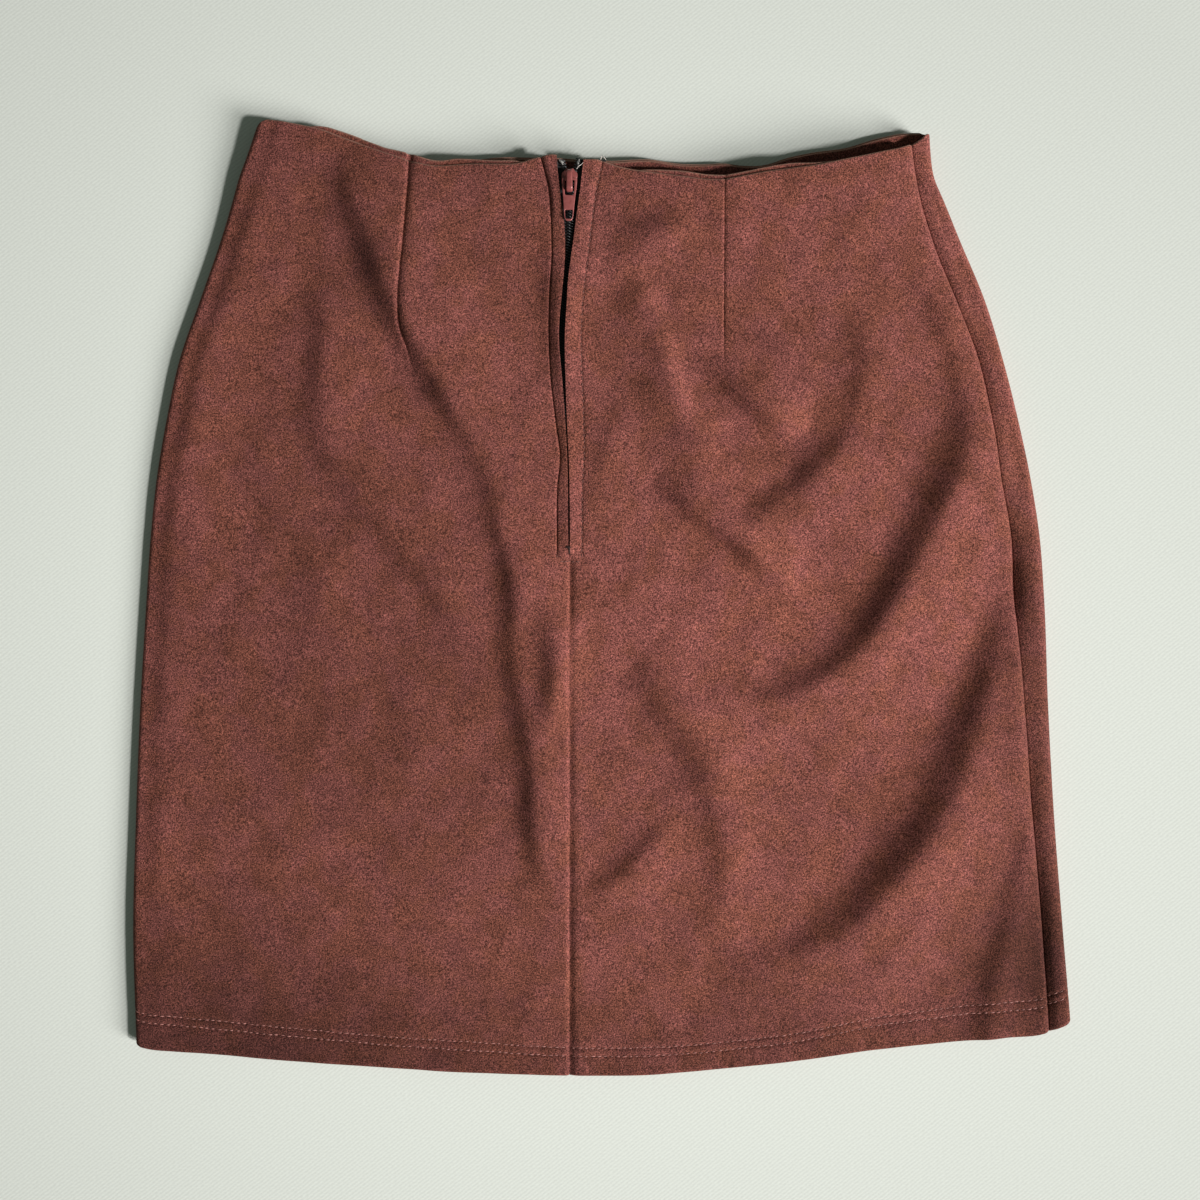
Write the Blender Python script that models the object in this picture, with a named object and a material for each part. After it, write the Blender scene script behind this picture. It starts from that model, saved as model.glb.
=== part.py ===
# A suede mini skirt, laid flat on a surface with its back side up.
# +X is the right of the laid-out skirt, +Y points to the waist, +Z is up, and the surface is z = 0.
# Every length here is in millimetres and becomes metres in closed_body.

import math

import bpy
import numpy as np

METRES = 0.001

# Driving dimensions
CLOTH = 1.0  # thickness of the suede
FACING = 1.0  # thickness of the waist facing, of the same suede
TAPE = 0.6  # thickness of the zip tape
GAP = 0.3  # between pieces that touch
HEM_STEP = 0.6  # over which the doubled wall becomes single
FACING_ROWS = 4  # grid rows that the facing takes up below the waist, about 40 mm
TAPE_REACH = 10.0  # of each zip tape under the cloth, from its edge
FACING_END = 13.0  # from the zip's cloth edge to the end of the facing
FACING_DROP = 0.4  # of a facing's top edge below the cloth edge where it doesn't show
STITCH_REACH = 4.5  # from the zip's cloth edge to its topstitching
BOTTOM_HEM_RISE = 1.5  # by which the front's hem stays behind the back's
UNDER_SEAM = (12.0, 24.5)  # left side seam, from the left fold: at the waist and at the hem
REST = CLOTH / 2  # middle of the wall that lies on the surface
FLAT_COVER = 5.0  # middle of the upper wall where nothing lifts it
RIM_EASE = 11.0  # over which the upper wall falls to a fold's own height
SIDE_LENGTH = 420.0  # waist to hem at the sides
GRID_ROWS = 42  # between the hem's top and the waist edge
BACK_LEFT_COLUMNS = 22
BACK_RIGHT_COLUMNS = 25
UNDER_COLUMNS = 12
ROLL_COLUMNS = 6  # round each fold
EDGE_COLUMN = 4.0  # from a fold or a seam to the first column beside it
EVEN_FROM = 9.0  # and to the evenly spaced ones
ZIP_EVEN_FROM = 22.0  # from the zip's cloth edge to the evenly spaced columns


def table(names, rows):
    """The rows as one array for each named column."""
    return dict(zip(names.split(), np.array(rows, float).T))


# A row for each cross-section: the two folds, the right side seam, the middle of the upper
# wall where each fold begins, and the soft ridge that stands beside the left one.
SIDES = table(
    "y left right seam left_rim right_rim left_ridge",
    [
        (-218, -212.5, 214.0, 203.3, 4.9, 5.2, 0.2),
        (-200, -213.1, 212.9, 202.6, 4.9, 5.4, 0.2),
        (-150, -214.5, 208.5, 198.8, 4.7, 7.4, 0.3),
        (-100, -213.3, 204.3, 193.6, 4.3, 9.4, 0.4),
        (-50, -211.4, 201.4, 189.4, 4.1, 10.4, 0.5),
        (0, -208.5, 199.5, 185.4, 4.0, 10.6, 0.5),
        (27, -206.7, 197.6, 183.9, 4.0, 10.2, 0.5),
        (54, -203.9, 193.6, 178.9, 4.2, 9.2, 0.6),
        (81, -199.3, 188.0, 175.2, 4.5, 8.4, 0.8),
        (108, -193.4, 181.3, 169.5, 4.8, 7.7, 1.0),
        (135, -184.1, 173.1, 159.1, 4.9, 7.2, 1.2),
        (162, -174.7, 161.9, 148.4, 4.9, 7.0, 1.2),
        (180, -169.1, 154.4, 142.8, 4.9, 7.0, 1.0),
        (190, -166.1, 150.0, 140.8, 4.9, 7.0, 0.8),
        (203, -161.0, 147.9, 138.7, 4.9, 7.0, 0.6),
        (218, -155.5, 147.0, 137.2, 4.9, 6.8, 0.3),
    ],
)

# A row for each station of the waist: the back's edge, how far its facing stands above it,
# and the edge of the front, which lies behind.
WAIST = table(
    "x back facing front",
    [
        (-157.8, 211.1, 0.0, 211.1),
        (-156.4, 213.7, 0.0, 213.5),
        (-153.7, 215.7, 0.0, 215.3),
        (-148.6, 215.6, 0.0, 215.2),
        (-141.6, 214.3, 0.0, 213.9),
        (-135.1, 213.0, 0.0, 212.6),
        (-131.1, 212.2, 1.1, 212.3),
        (-125.6, 210.6, 2.2, 211.5),
        (-120.0, 208.5, 2.6, 210.0),
        (-112.5, 205.7, 2.8, 207.4),
        (-105.0, 202.8, 2.8, 204.6),
        (-98.7, 200.6, 2.6, 202.2),
        (-92.9, 198.7, 3.1, 200.7),
        (-87.8, 196.8, 3.6, 199.3),
        (-83.0, 195.6, 3.3, 197.9),
        (-77.9, 194.7, 2.8, 196.6),
        (-72.5, 194.6, 2.7, 196.3),
        (-67.0, 195.0, 3.1, 197.1),
        (-60.9, 195.4, 2.6, 198.1),
        (-47.0, 195.3, 2.0, 199.7),
        (-40.9, 195.4, 1.9, 199.8),
        (-36.4, 196.2, 0.6, 199.7),
        (-33.0, 197.3, 0.0, 199.6),
        (-26.9, 198.6, 0.0, 199.5),
        (-22.6, 199.1, 0.0, 199.4),
        (-19.4, 198.4, 0.0, 199.3),
        (-8.9, 196.9, 0.0, 198.5),
        (-2.4, 196.7, 0.0, 198.3),
        (5.3, 194.2, 0.0, 198.3),
        (12.2, 192.7, 0.0, 198.8),
        (20.2, 191.6, 1.4, 199.1),
        (33.9, 189.7, 2.6, 197.3),
        (46.9, 188.0, 2.4, 197.2),
        (54.3, 188.0, 2.2, 197.6),
        (63.2, 189.5, 2.1, 196.6),
        (72.5, 191.2, 2.3, 196.8),
        (83.3, 192.5, 2.6, 200.1),
        (94.8, 193.8, 1.4, 202.5),
        (109.6, 196.7, 0.0, 204.5),
        (124.2, 199.9, 0.0, 208.8),
        (135.7, 202.9, 0.0, 211.1),
        (141.7, 205.9, 0.0, 211.5),
        (145.0, 208.3, 0.0, 211.3),
        (148.2, 209.8, 0.0, 210.0),
    ],
)

# How far the cloth rises at the waist's edge, on its lower (front) and its upper (back) side.
WAIST_LIFT = table(
    "x front back",
    [
        (-158, 3.5, 3.5),
        (-140, 4.2, 4.2),
        (-110, 5.0, 5.0),
        (-60, 5.4, 5.6),
        (-20, 5.5, 6.0),
        (6, 5.0, 6.0),
        (25, 4.0, 6.0),
        (50, 3.2, 5.5),
        (80, 2.4, 4.6),
        (110, 2.0, 3.8),
        (135, 2.4, 3.2),
        (149, 3.0, 3.0),
    ],
)
LIFT_REACH = (20.0, 70.0)  # below the waist's edge, on the lower and the upper side

# A row for each station of the hem: its edge, and the depth that is turned up.
HEM = table(
    "x y depth",
    [
        (-213, -203.9, 16.2),
        (-207, -205.3, 16.2),
        (-196, -206.2, 16.1),
        (-180, -207.4, 15.8),
        (-148, -210.2, 15.5),
        (-102, -213.5, 14.6),
        (-60, -216.0, 14.3),
        (-16, -217.2, 13.0),
        (21, -216.9, 12.8),
        (46, -214.7, 12.4),
        (89, -210.2, 13.2),
        (116, -206.2, 14.8),
        (153, -202.2, 16.0),
        (180, -199.8, 16.4),
        (201, -198.0, 16.5),
        (208, -195.2, 16.5),
        (214, -192.6, 16.5),
    ],
)

# A row for each height of the centre back: the cloth edges of the zip opening, which close to
# the centre-back seam below it.
CENTRE = table(
    "y left right",
    [
        (-220, -15.85, -15.55),
        (-100, -15.85, -15.55),
        (0, -15.85, -15.55),
        (22, -15.85, -15.55),
        (62, -16.4, -16.1),
        (79, -17.3, -17.0),
        (99, -18.7, -17.6),
        (119, -20.5, -17.7),
        (134, -19.4, -16.8),
        (153, -17.3, -15.4),
        (164, -17.7, -14.0),
        (172, -18.1, -13.1),
        (184, -19.6, -11.4),
        (197, -20.9, -10.0),
        (202, -20.9, -9.4),
    ],
)

# Broad rises of the upper wall: the middle of each, its reach along X and Y, and its height.
RISES = table(
    "x y reach_x reach_y height",
    [
        (-15, 188, 60, 30, 0.5),
        (112, 212, 58, 84, 6.0),
        (96, -20, 82, 150, 3.2),
        (150, 40, 44, 90, 1.8),
        (-168, 60, 40, 150, 0.5),
    ],
)

# Each fold is a run of rows down the middle of its steep flank, with the high ground on the
# left hand: the widths of its steep and its gentle flank there, and its height.
FOLDS = table(
    "fold x y steep gentle height",
    [
        (1, 179.4, 3.4, 9, 28, 0),
        (1, 171.3, -29.0, 10, 34, 6.0),
        (1, 157.8, -69.5, 14, 42, 8.6),
        (1, 146.6, -94.6, 15, 44, 9.0),
        (1, 125.9, -123.4, 13, 42, 8.2),
        (1, 102.5, -149.5, 11, 34, 4.8),
        (1, 50.3, -169.3, 9, 26, 0),
        (2, 129.5, 158.0, 6, 14, 0),
        (2, 150.1, 125.6, 6, 14, 2.2),
        (2, 158.7, 95.5, 8, 20, 2.4),
        (2, 157.8, 68.1, 12, 34, 6.4),
        (2, 146.1, 39.3, 11, 38, 7.2),
        (2, 119.8, -9.8, 9.5, 36, 6.4),
        (2, 98.5, -31.9, 8.5, 26, 4.6),
        (2, 74.7, -42.0, 8, 16, 3.0),
        (2, 47.1, -38.6, 7, 14, 0),
        (3, 108.8, 130.1, 6, 12, 0),
        (3, 115.5, 109.0, 6, 14, 1.5),
        (3, 108.8, 79.8, 8, 22, 2.6),
        (3, 99.8, 65.4, 9.5, 28, 4.7),
        (3, 71.9, 42.0, 9, 24, 4.0),
        (3, 53.0, 30.3, 8, 20, 0),
        (4, -122.7, 201.2, 8, 22, 0),
        (4, -116.0, 177.8, 8, 24, 3.8),
        (4, -98.9, 131.9, 8.5, 28, 5.4),
        (4, -83.6, 106.8, 7, 26, 4.8),
        (4, -68.3, 78.9, 6.5, 22, 3.8),
        (4, -57.5, 59.6, 7, 20, 2.2),
        (4, -47.7, 23.6, 6.5, 20, 3.8),
        (4, -42.7, -1.1, 6.5, 20, 4.4),
        (4, -43.6, -25.8, 7, 18, 3.2),
        (4, -35.1, -75.7, 7, 18, 4.3),
        (4, -34.2, -104.5, 7, 18, 4.0),
        (4, -26.5, -142.7, 6, 14, 0),
        (5, -134.0, 150.8, 9, 20, 0),
        (5, -130.4, 120.3, 9, 20, 3.3),
        (5, -132.6, 93.3, 10, 22, 3.1),
        (5, -127.7, 63.6, 9, 20, 2.6),
        (5, -102.9, 31.7, 8, 18, 2.3),
        (5, -78.2, 0.2, 7, 18, 2.6),
        (5, -60.2, -37.1, 7, 14, 0),
        (6, 16.2, 134.6, 6, 14, 0),
        (6, 19.3, 111.3, 6, 14, 1.7),
        (6, 36.0, 70.8, 6, 15, 2.2),
        (6, 35.1, 42.9, 6, 15, 1.6),
        (6, 53.9, 22.3, 7, 18, 2.8),
        (6, 68.8, 11.5, 7, 18, 2.5),
        (6, 93.5, -12.8, 7, 14, 0),
    ],
)
FOLD_STEPS = 4  # straight pieces between two rows of a fold
FOLD_CREST = 0.14  # share of its height that stands as a narrow crest above the gentle flank
RIDGE_AT = 10.0  # from where the left fold begins to the top of the ridge beside it
RIDGE_REACH = (7.0, 16.0)  # of that ridge, towards the fold and away from it

# Zip
SLIDER_Y = 187.9  # middle of the slider
SLIDER_LENGTH = 10.8
SLIDER_NOSE = 7.4  # width at the waist end
SLIDER_TAIL = 6.2
PLATE = 0.7  # thickness of each of the slider's plates
COIL_ROOM = 1.3  # from the tape's upper side to the slider's upper plate
TAPE_ROOM = 1.0  # from the tape's lower side to the slider's lower plate
POST = (1.4, 2.7)  # width and length of the post between the plates
BRIDGE_WIDTH = 2.8
BRIDGE_THICKNESS = 0.8
BRIDGE_ENDS = (-5.2, 4.4)  # from the slider's middle, along Y
BRIDGE_LIFT = 1.7  # clear height under the bridge
PULL_THICKNESS = 1.0
PULL_LIFT = 0.85  # from the slider's upper plate to the middle of the pull
PULL_AXIS_Y = 187.9
CHAIN_OPENS_Y = 184.5  # below it the two tapes meet
CHAIN_SPREAD = 3.4  # half the distance between the tapes at the waist
CHAIN_TOP_Y = 200.0
STOP_SIZE = (2.0, 2.6, 1.2)
STOP_Y = 196.0
STOP_X = (-19.1, -11.7)
BOTTOM_STOP_SIZE = (5.0, 2.4, 1.0)
BOTTOM_STOP_Y = 28.0
TAPE_END_Y = 14.0

# A row for each step down the pull, from its axis: half its width, and half its window's.
PULL = table(
    "down half window",
    [
        (-0.5, 3.4, 0.0),
        (0.45, 3.45, 2.05),
        (2.8, 3.35, 2.05),
        (6.2, 2.95, 1.75),
        (6.8, 2.8, 0.0),
        (10.1, 2.55, 0.0),
        (13.3, 2.3, 0.0),
        (13.9, 2.25, 1.5),
        (16.6, 2.0, 1.35),
        (17.1, 1.85, 0.0),
        (18.1, 1.2, 0.0),
    ],
)


def smooth(column, at, values):
    """A soft curve through a table's column, read at the given values."""
    slopes = np.gradient(column, at)
    values = np.clip(values, at[0], at[-1])
    low = np.clip(np.searchsorted(at, values) - 1, 0, len(at) - 2)
    span = at[low + 1] - at[low]
    share = (values - at[low]) / span
    rise = share * share * (3 - 2 * share)
    lead = share * (1 - share) ** 2 * span * slopes[low]
    trail = share * share * (share - 1) * span * slopes[low + 1]
    return column[low] * (1 - rise) + column[low + 1] * rise + lead + trail


def side(name, y):
    return smooth(SIDES[name], SIDES["y"], y)


def ease(share):
    share = np.clip(share, 0, 1)
    return share * share * (3 - 2 * share)


def bell(distance, width):
    return np.exp(-((distance / width) ** 2))


def folds_of(columns):
    """Each fold's rows as a table of its own."""
    numbers = columns["fold"]
    return [{name: column[numbers == n] for name, column in columns.items()} for n in np.unique(numbers)]


def fold_height(x, y, fold):
    """Height that one fold adds at the points (x, y)."""
    at = np.arange(len(fold["x"]), dtype=float)
    steps = np.linspace(0, at[-1], FOLD_STEPS * (len(at) - 1) + 1)
    line = np.stack([smooth(fold["x"], at, steps), smooth(fold["y"], at, steps)], axis=-1)
    along = np.diff(line, axis=0)
    from_line = np.stack([x, y], axis=-1)[..., None, :] - line[:-1]
    share = np.clip((from_line * along).sum(-1) / (along * along).sum(-1), 0, 1)
    miss = from_line - share[..., None] * along
    distance = np.hypot(miss[..., 0], miss[..., 1])
    nearest = distance.argmin(-1)[..., None]
    cross = along[:, 0] * from_line[..., 1] - along[:, 1] * from_line[..., 0]
    hand = np.sign(np.take_along_axis(cross, nearest, -1)[..., 0])
    row = (nearest[..., 0] + np.take_along_axis(share, nearest, -1)[..., 0]) / FOLD_STEPS
    steep, gentle, height = (smooth(fold[name], at, row) for name in ("steep", "gentle", "height"))
    across = hand * distance.min(-1) - steep / math.sqrt(2)
    crest = FOLD_CREST * bell(across, steep) + (1 - FOLD_CREST) * bell(across, gentle)
    return height * np.where(across < 0, bell(across, steep), crest)


def rows_of(columns):
    return [dict(zip(columns, row)) for row in zip(*columns.values())]


def roll_radius(hand, y):
    """Radius of the middle of the wall round the left or right fold."""
    return (side(f"{hand}_rim", y) - REST) / 2


def fold_edge(hand, y):
    """X of the middle of the wall at the very edge of a fold."""
    inward = CLOTH / 2 if hand == "left" else -CLOTH / 2
    return side(hand, y) + inward


def waist_lift(x, y, above):
    """Rise of the cloth towards the waist, from its lower side (above = 0) to its upper one (1)."""
    mix = np.array([1 - above, above])
    edge, height = (
        np.tensordot(mix, [smooth(rows[name], rows["x"], x) for name in ("front", "back")], 1)
        for rows in (WAIST, WAIST_LIFT)
    )
    return height * np.clip(1 - (edge - y) / (mix @ LIFT_REACH), 0, 1) ** 2


def cover(x, y):
    """Height of the middle of the upper wall."""
    inner = np.full(np.shape(x), FLAT_COVER)
    for rise in rows_of(RISES):
        over = bell(x - rise["x"], rise["reach_x"]) * bell(y - rise["y"], rise["reach_y"])
        inner = inner + rise["height"] * over
    for fold in folds_of(FOLDS):
        inner = inner + fold_height(x, y, fold)
    from_left = x - fold_edge("left", y) - roll_radius("left", y)
    from_right = fold_edge("right", y) - roll_radius("right", y) - x
    reach = np.where(from_left < RIDGE_AT, *RIDGE_REACH)
    inner = inner + side("left_ridge", y) * bell(from_left - RIDGE_AT, reach)
    rim = np.where(from_left < from_right, side("left_rim", y), side("right_rim", y))
    inner = rim + (inner - rim) * ease(np.minimum(from_left, from_right) / RIM_EASE)
    return inner + waist_lift(x, y, 1.0)


def centre_edge(hand, y):
    """X of the cloth edge at the centre back, left or right of the opening or the seam."""
    left = smooth(CENTRE["left"], CENTRE["y"], y)
    if hand == "left":
        return left
    return np.maximum(smooth(CENTRE["right"], CENTRE["y"], y), left + GAP)


def under_seam(y):
    share = (y + SIDE_LENGTH / 2) / SIDE_LENGTH
    at_waist, at_hem = UNDER_SEAM
    return side("left", y) + at_hem + (at_waist - at_hem) * share


# Each stretch of the loop round the skirt runs between two lines, at the height y.
STRETCHES = {
    "back_left": lambda y: (
        fold_edge("left", y) + roll_radius("left", y),
        centre_edge("left", y),
    ),
    "back_right": lambda y: (centre_edge("right", y), side("seam", y) - GAP / 2),
    "front_strip": lambda y: (
        side("seam", y) + GAP / 2,
        fold_edge("right", y) - roll_radius("right", y),
    ),
    "front_under": lambda y: (
        fold_edge("right", y) - roll_radius("right", y),
        under_seam(y) + GAP / 2,
    ),
    "back_under": lambda y: (
        under_seam(y) - GAP / 2,
        fold_edge("left", y) + roll_radius("left", y),
    ),
}
LOWER = ("front_under", "back_under")


def station(stretch, share, offset, y):
    """(x, z) of the middle of the wall at one station of the loop, at the heights y."""
    if stretch in ("left_roll", "right_roll"):
        hand = stretch.split("_")[0]
        turn = math.pi * (share - 0.5) * (1 if hand == "left" else -1)
        radius = roll_radius(hand, y)
        x = fold_edge(hand, y) + radius * (1 - math.cos(turn)) * (1 if hand == "left" else -1)
        rise = 1 + math.sin(turn)
        return x, REST + radius * rise + waist_lift(x, y, rise / 2)
    start, end = STRETCHES[stretch](y)
    x = start + (end - start) * share + offset
    return x, REST + waist_lift(x, y, 0.0) if stretch in LOWER else cover(x, y)


def ends(stretch, share, offset):
    """Y of the waist and of the hem at one station."""
    if stretch in LOWER:
        lower = 1.0
    elif stretch == "left_roll":
        lower = 1 - share
    else:
        lower = share if stretch == "right_roll" else 0.0
    waist, hem = np.array([205.0]), np.array([-205.0])
    for _ in range(12):
        x, _z = station(stretch, share, offset, waist)
        back = smooth(WAIST["back"], WAIST["x"], x)
        front = smooth(WAIST["front"], WAIST["x"], x)
        waist = back + (front - back) * lower
        x, _z = station(stretch, share, offset, hem)
        hem = smooth(HEM["y"], HEM["x"], x) + BOTTOM_HEM_RISE * lower
    return waist[0], hem[0]


def middle_grid(stations):
    """Middle of a panel's wall: an array of rows from the hem to the waist."""
    columns = []
    for stretch, share, offset in stations:
        waist, hem = ends(stretch, share, offset)
        x, _z = station(stretch, share, offset, np.array([hem]))
        depth = smooth(HEM["depth"], HEM["x"], x)[0]
        in_hem = hem + np.array([0.0, depth / 2, depth])
        y = np.concatenate([in_hem, np.linspace(hem + depth + HEM_STEP, waist, GRID_ROWS)])
        x, z = station(stretch, share, offset, y)
        columns.append(np.stack([x, y, z], axis=-1))
    return np.stack(columns, axis=1)


def outward(grid):
    """Unit normals of a grid, pointing out of the skirt."""
    normal = np.cross(np.gradient(grid, axis=1), np.gradient(grid, axis=0))
    return normal / np.linalg.norm(normal, axis=-1, keepdims=True)


def new_material(name, colour, roughness, metallic=0.0):
    material = bpy.data.materials.new(name)
    material.use_nodes = True
    shader = material.node_tree.nodes["Principled BSDF"]
    shader.inputs["Base Color"].default_value = (*colour, 1.0)
    shader.inputs["Roughness"].default_value = roughness
    shader.inputs["Metallic"].default_value = metallic
    material.diffuse_color = (*colour, 1.0)
    return material


def closed_body(name, outer, inner, faces, material, origin=(0.0, 0.0, 0.0)):
    """The solid between two copies of the same faces; those of the outer copy point out."""
    count = len(outer)
    edges = {pair for face in faces for pair in zip(face, face[1:] + face[:1])}
    rims = [(b, a, a + count, b + count) for a, b in sorted(edges) if (b, a) not in edges]
    inside = [tuple(corner + count for corner in reversed(face)) for face in faces]
    points = (np.concatenate([outer, inner]) - np.array(origin)) * METRES
    mesh = bpy.data.meshes.new(name)
    mesh.from_pydata(points.tolist(), [], faces + inside + rims)
    mesh.materials.append(material)
    mesh.shade_smooth()
    mesh.set_sharp_from_angle(angle=math.radians(40))
    body = bpy.data.objects.new(name, mesh)
    body.location = np.array(origin) * METRES
    bpy.context.scene.collection.objects.link(body)
    return body


def sheet(name, outer, inner, material):
    """A wall between two grids of points, split alike in every sheet so that they stay apart."""
    rows, columns = outer.shape[:2]
    faces = []
    for row in range(rows - 1):
        for column in range(columns - 1):
            corner = row * columns + column
            faces.append((corner, corner + 1, corner + columns + 1))
            faces.append((corner, corner + columns + 1, corner + columns))
    return closed_body(name, outer.reshape(-1, 3), inner.reshape(-1, 3), faces, material)


def spread(stretch, count, first, last):
    """Evenly spaced stations, from first past a stretch's start to last past its end."""
    return [(stretch, share, first + (last - first) * share) for share in np.linspace(0, 1, count)]


def rolled(hand):
    return [(f"{hand}_roll", share, 0.0) for share in np.linspace(0, 1, ROLL_COLUMNS)]


def panel(name, stations, material):
    """A cloth panel with its hem turned up inside; returns its middle and its normals."""
    grid = middle_grid(stations)
    normal = outward(grid)
    inward = np.full(grid.shape[:2], CLOTH / 2)
    inward[:3] += CLOTH
    sheet(name, grid + normal * CLOTH / 2, grid - normal * inward[..., None], material)
    return grid, normal


def facing(name, grid, normal, edge, material):
    """The strip inside a panel's waist; edge is how far it stands above the cloth."""
    grid = grid[-FACING_ROWS - 1 :].copy()
    normal = normal[-FACING_ROWS - 1 :]
    up = grid[-1] - grid[-2]
    grid[-1] += up / np.linalg.norm(up, axis=-1, keepdims=True) * (edge - FACING_DROP)[:, None]
    outer = grid - normal * (CLOTH / 2 + GAP)
    sheet(name, outer, outer - normal * FACING, material)


def zip_middle(y):
    return (centre_edge("left", y) + centre_edge("right", y)) / 2


def zip_tape(hand, grid, normal, material):
    """One tape, from under the cloth's edge to the coil; the cloth's edge is the last column."""
    shown = grid[:, -1, 1] > TAPE_END_Y
    grid, normal = grid[shown].copy(), normal[shown].copy()
    y = grid[:, -1, 1]
    open_share = (y - CHAIN_OPENS_Y) / (CHAIN_TOP_Y - CHAIN_OPENS_Y)
    half = GAP / 2 + (CHAIN_SPREAD - GAP / 2) * ease(open_share)
    grid[:, -1, 0] = zip_middle(y) + half * (-1 if hand == "left" else 1)
    normal[:, -1] = (0.0, 0.0, 1.0)
    if hand == "right":
        grid, normal = grid[:, ::-1], normal[:, ::-1]
    outer = grid - normal * (CLOTH / 2 + GAP)
    sheet(f"zip_tape_{hand}", outer, outer - normal * TAPE, material)


def slab(name, outline, low, high, material):
    """A flat piece of a given thickness, from an outline that runs anticlockwise from above."""
    outer = np.array([(x, y, high) for x, y in outline])
    inner = np.array([(x, y, low) for x, y in outline])
    return closed_body(name, outer, inner, [tuple(range(len(outline)))], material)


def block(name, middle, size, material):
    """A box, by the middle of its lower face."""
    x, y, z = middle
    half_x, half_y = size[0] / 2, size[1] / 2
    corners = [(x - half_x, y - half_y), (x + half_x, y - half_y)]
    corners += [(x + half_x, y + half_y), (x - half_x, y + half_y)]
    return slab(name, corners, z, z + size[2], material)


def join(body, others):
    """Unites the other bodies with this one, and hides them."""
    for other in others:
        union = body.modifiers.new(f"with_{other.name}", "BOOLEAN")
        union.operation = "UNION"
        union.solver = "EXACT"
        union.object = other
        other.hide_render = True
        other.hide_viewport = True
        other.display_type = "WIRE"


def slider(x, plate_low, lower_high, material):
    """The slider: two plates, the post between them at its nose, and the bridge on top."""
    half = SLIDER_LENGTH / 2
    nose, tail = SLIDER_NOSE / 2, SLIDER_TAIL / 2
    outline = [
        (x - tail + 0.8, SLIDER_Y - half),
        (x + tail - 0.8, SLIDER_Y - half),
        (x + tail, SLIDER_Y - half + 1.0),
        (x + nose, SLIDER_Y + 1.0),
        (x + nose - 0.4, SLIDER_Y + half - 2.0),
        (x + nose - 2.0, SLIDER_Y + half),
        (x - nose + 2.0, SLIDER_Y + half),
        (x - nose + 0.4, SLIDER_Y + half - 2.0),
        (x - nose, SLIDER_Y + 1.0),
        (x - tail, SLIDER_Y - half + 1.0),
    ]
    body = slab("zip_slider", outline, plate_low, plate_low + PLATE, material)
    lower = slab("slider_lower", outline, lower_high - PLATE, lower_high, material)
    post_y = SLIDER_Y + half - POST[1] / 2 - 0.1
    post_low = lower_high - PLATE / 2
    post = block("slider_post", (x, post_y, post_low), (*POST, plate_low + PLATE / 2 - post_low), material)
    return body, [lower, post, bridge(x, plate_low + PLATE, material)]


def bridge(x, foot, material):
    """The arch that the pull hangs on, drawn from the side."""
    back, front = BRIDGE_ENDS
    top = BRIDGE_LIFT + BRIDGE_THICKNESS
    profile = [
        (back, -PLATE / 2),
        (back, BRIDGE_LIFT * 0.6),
        (back + 1.1, top),
        (front - 1.1, top),
        (front, BRIDGE_LIFT * 0.6),
        (front, -PLATE / 2),
        (front - 0.9, -PLATE / 2),
        (front - 0.9, BRIDGE_LIFT * 0.5),
        (front - 1.4, BRIDGE_LIFT),
        (back + 1.4, BRIDGE_LIFT),
        (back + 0.9, BRIDGE_LIFT * 0.5),
        (back + 0.9, -PLATE / 2),
    ]
    right = np.array([(x + BRIDGE_WIDTH / 2, SLIDER_Y + y, foot + z) for y, z in profile])
    left = right - np.array([BRIDGE_WIDTH, 0.0, 0.0])
    return closed_body("slider_bridge", left, right, [tuple(range(len(profile)))], material)


def pull_tab(x, z, material):
    """The pull: a tapering plate with a window for the bridge and one near its end."""
    points, faces = [], []
    rows = list(rows_of(PULL))
    for row in rows:
        inner = row["window"] if row["window"] else row["half"] / 2
        for across in (-row["half"], -inner, inner, row["half"]):
            points.append((x + across, PULL_AXIS_Y - row["down"], z))
    for step in range(len(rows) - 1):
        open_here = rows[step]["window"] and rows[step + 1]["window"]
        for lane in (0, 2) if open_here else (0, 1, 2):
            corner = step * 4 + lane
            faces.append((corner, corner + 4, corner + 5, corner + 1))
    lift = np.array([0.0, 0.0, PULL_THICKNESS / 2])
    middle = np.array(points)
    origin = (x, PULL_AXIS_Y, z)
    return closed_body("zip_pull", middle + lift, middle - lift, faces, material, origin)


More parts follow.
